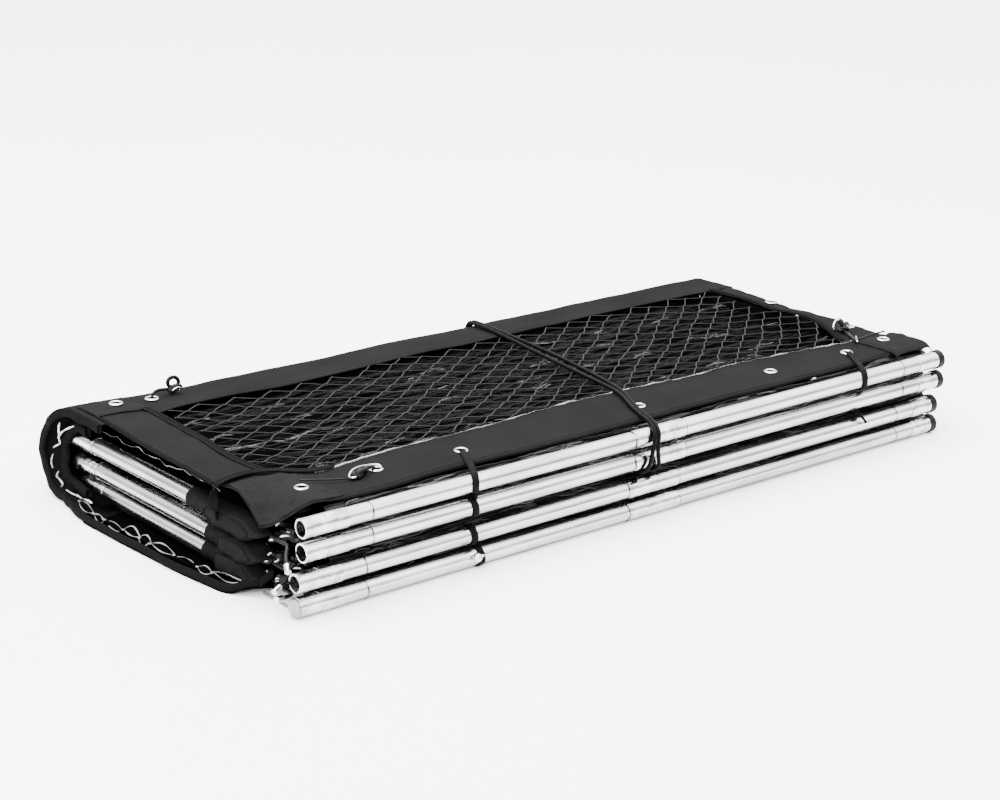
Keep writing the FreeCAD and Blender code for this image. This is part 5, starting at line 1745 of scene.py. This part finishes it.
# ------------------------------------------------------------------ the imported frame's own parts
@dataclass
class FrameParts:
    """Tubes, fittings and small hardware that stay as modelled, each with its finish."""

    finishes: Finishes

    def build(self) -> None:
        """Gives each kept node its material."""
        f = self.finishes
        rules = (("_left_tube", f.long_tube), ("_right_tube", f.long_tube), ("short_tubes", f.short_tube),
                 ("socket", f.fitting), ("sleeve", f.fitting), ("collar", f.fitting), ("ferrules", f.fitting),
                 ("cap", f.rubber), ("end_plug", f.plug), ("eyelets", f.nickel), ("toggle", f.nickel),
                 ("crimp", f.nickel), ("tie_cord", f.cord_cad), ("corner_cord", f.glossy),
                 ("border", f.cloth_cad), ("net", f.dark_net), ("fold", f.cloth_cad), ("bands", f.rubber),
                 ("boots", f.rubber), ("cord", f.glossy))
        for name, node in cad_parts.items():
            material = next((m for key, m in rules if key in name), f.rubber)
            for slot in node.material_slots:
                slot.link = "OBJECT"
                slot.material = material
        for layer in ALL_LAYERS:
            half = Body.UPPER if layer in (1, 2) else Body.LOWER
            fixed = self.groove(layer, "sleeve", 0).joined(self.groove(layer, "sleeve", 1))
            fixed = fixed.joined(self.groove(layer, "socket", 1))
            finish_piece(fixed.to_object("pole_%d_joint_lines" % layer), f.rubber, half)
            loose = self.groove(layer, "collar", 0).to_object("pole_%d_collar_line" % layer)
            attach(finish_piece(loose, f.rubber), "pole_%d_right_half" % layer)
        LOG.info("frame parts dressed")

    @staticmethod
    def groove(layer: int, part: str, side: int) -> Shape:
        """A dark uneven line round one end of a fitting, where it meets its tube."""
        low, high = (np.array(c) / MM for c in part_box("pole_%d_%s" % (layer, part)))
        r = float(high[2] - low[2]) / 2 - 0.05
        a = np.linspace(0.2, 2 * math.pi + 0.2, 72)
        x = float(high[0] if side else low[0]) + 0.35 * np.sin(a * 3 + layer)
        path = np.stack([x, (low[1] + high[1]) / 2 + r * np.cos(a), (low[2] + high[2]) / 2 + r * np.sin(a)],
                        axis=1)
        return rod(path, 0.2 + 0.16 * np.sin(a * 2 + layer + side) ** 2, 6, ref=(1.0, 0.1, 0.05))


# ------------------------------------------------------------------ the studio
@dataclass
class Studio:
    """Pale floor, soft light and the camera."""

    eye: tuple = (-1.3160, -1.5694, 0.7206)
    pitch: float = 17.877
    yaw: float = 39.363
    roll: float = 0.601
    lens: float = 79.43

    def build(self) -> None:
        """Makes floor, lights and camera."""
        self.floor()
        self.light()
        self.camera()

    def floor(self) -> None:
        """A wide flat floor at height 0."""
        span = 6000.0
        verts = np.array([(-span, -span, -0.05), (span, -span, -0.05), (span, span, -0.05),
                          (-span, span, -0.05)])
        floor = Shape(verts, np.array([[0, 1, 2, 3]]), uv=verts[:, :2]).to_object("studio_floor")
        floor.data.materials.append(PaleFloor().make())

    def light(self) -> None:
        """Surroundings that are bright overhead and dimmer near the horizon, and large soft boxes."""
        world = bpy.data.worlds.new("studio_world")
        world.use_nodes = True
        nodes, links = world.node_tree.nodes, world.node_tree.links
        split = nodes.new("ShaderNodeSeparateXYZ")
        links.new(nodes.new("ShaderNodeTexCoord").outputs["Generated"], split.inputs[0])
        ramp = nodes.new("ShaderNodeValToRGB")
        for place, (at, tone) in enumerate(((0.0, 0.34), (0.32, 0.2), (0.62, 1.0), (1.0, 1.0))):
            stop = ramp.color_ramp.elements[place] if place < 2 else ramp.color_ramp.elements.new(at)
            stop.position, stop.color = at, (tone, tone, tone, 1.0)
        links.new(split.outputs[2], ramp.inputs[0])
        back = nodes["Background"]
        links.new(ramp.outputs[0], back.inputs["Color"])
        back.inputs["Strength"].default_value = 7.0
        bpy.context.scene.world = world
        for name, at, aim, size, power in (("overhead_box", (-0.3, 0.5, 2.6), (0, 0, 0), 2.2, 200.0),
                                           ("front_left_box", (-2.6, -1.6, 1.6), (0, 0, 0.05), 1.6, 110.0)):
            lamp = bpy.data.lights.new(name, "AREA")
            lamp.size = size
            lamp.energy = power
            holder = bpy.data.objects.new(name, lamp)
            holder.matrix_world = self.looking(at, aim)
            bpy.context.scene.collection.objects.link(holder)

    @staticmethod
    def looking(at: tuple, aim: tuple) -> Matrix:
        """Placement at a point with -Z towards another point."""
        back = unit(np.array(at, dtype=float) - np.array(aim, dtype=float))
        right = unit(np.cross((0.0, 0.0, 1.0), back))
        up = np.cross(back, right)
        rows = np.column_stack([right, up, back, at])
        return Matrix([*rows.tolist(), [0, 0, 0, 1]])

    def camera(self) -> None:
        """Camera on a long lens, a little rolled."""
        p, y, r = (math.radians(v) for v in (self.pitch, self.yaw, self.roll))
        ahead = np.array([math.sin(y) * math.cos(p), math.cos(y) * math.cos(p), -math.sin(p)])
        side = np.array([math.cos(y), -math.sin(y), 0.0])
        top = np.cross(side, ahead)
        right = math.cos(r) * side + math.sin(r) * top
        up = -math.sin(r) * side + math.cos(r) * top
        lens = bpy.data.cameras.new("camera")
        lens.lens = self.lens
        lens.sensor_fit = "HORIZONTAL"
        lens.sensor_width = 36.0
        lens.clip_end = 50.0
        holder = bpy.data.objects.new("camera", lens)
        holder.matrix_world = Matrix([*np.column_stack([right, up, -ahead, self.eye]).tolist(), [0, 0, 0, 1]])
        bpy.context.scene.collection.objects.link(holder)
        bpy.context.scene.camera = holder


def main() -> None:
    """Builds the bed piece by piece."""
    logging.basicConfig(level=logging.INFO, format="%(name)s: %(message)s")
    Studio().build()
    finishes = Finishes()
    FrameParts(finishes).build()
    fold_z = float(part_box("outer_fold")[1][2]) / MM / 2
    surface = TopSurface(level=2 * fold_z - 0.6)
    deck = TopDeck(surface, finishes)
    Trim(surface, deck, finishes, fold_z).build()
    deck.build()
    BackWrap(surface, finishes, fold_z).build()
    GatheredNet(finishes, fold_z + 3, 2 * fold_z - 5, Body.UPPER, "deck_2_net", "upper_gathered_net").build()
    GatheredNet(finishes, 5.0, fold_z - 3, Body.LOWER, "deck_3_net", "lower_gathered_net", count=160,
                bright=40,
                seed=8, facing=-1.0).build()
    layers = InnerLayers(finishes, fold_z)
    layers.build()
    LeftEnd(finishes, layers).build()


if __name__ == "__main__":
    main()
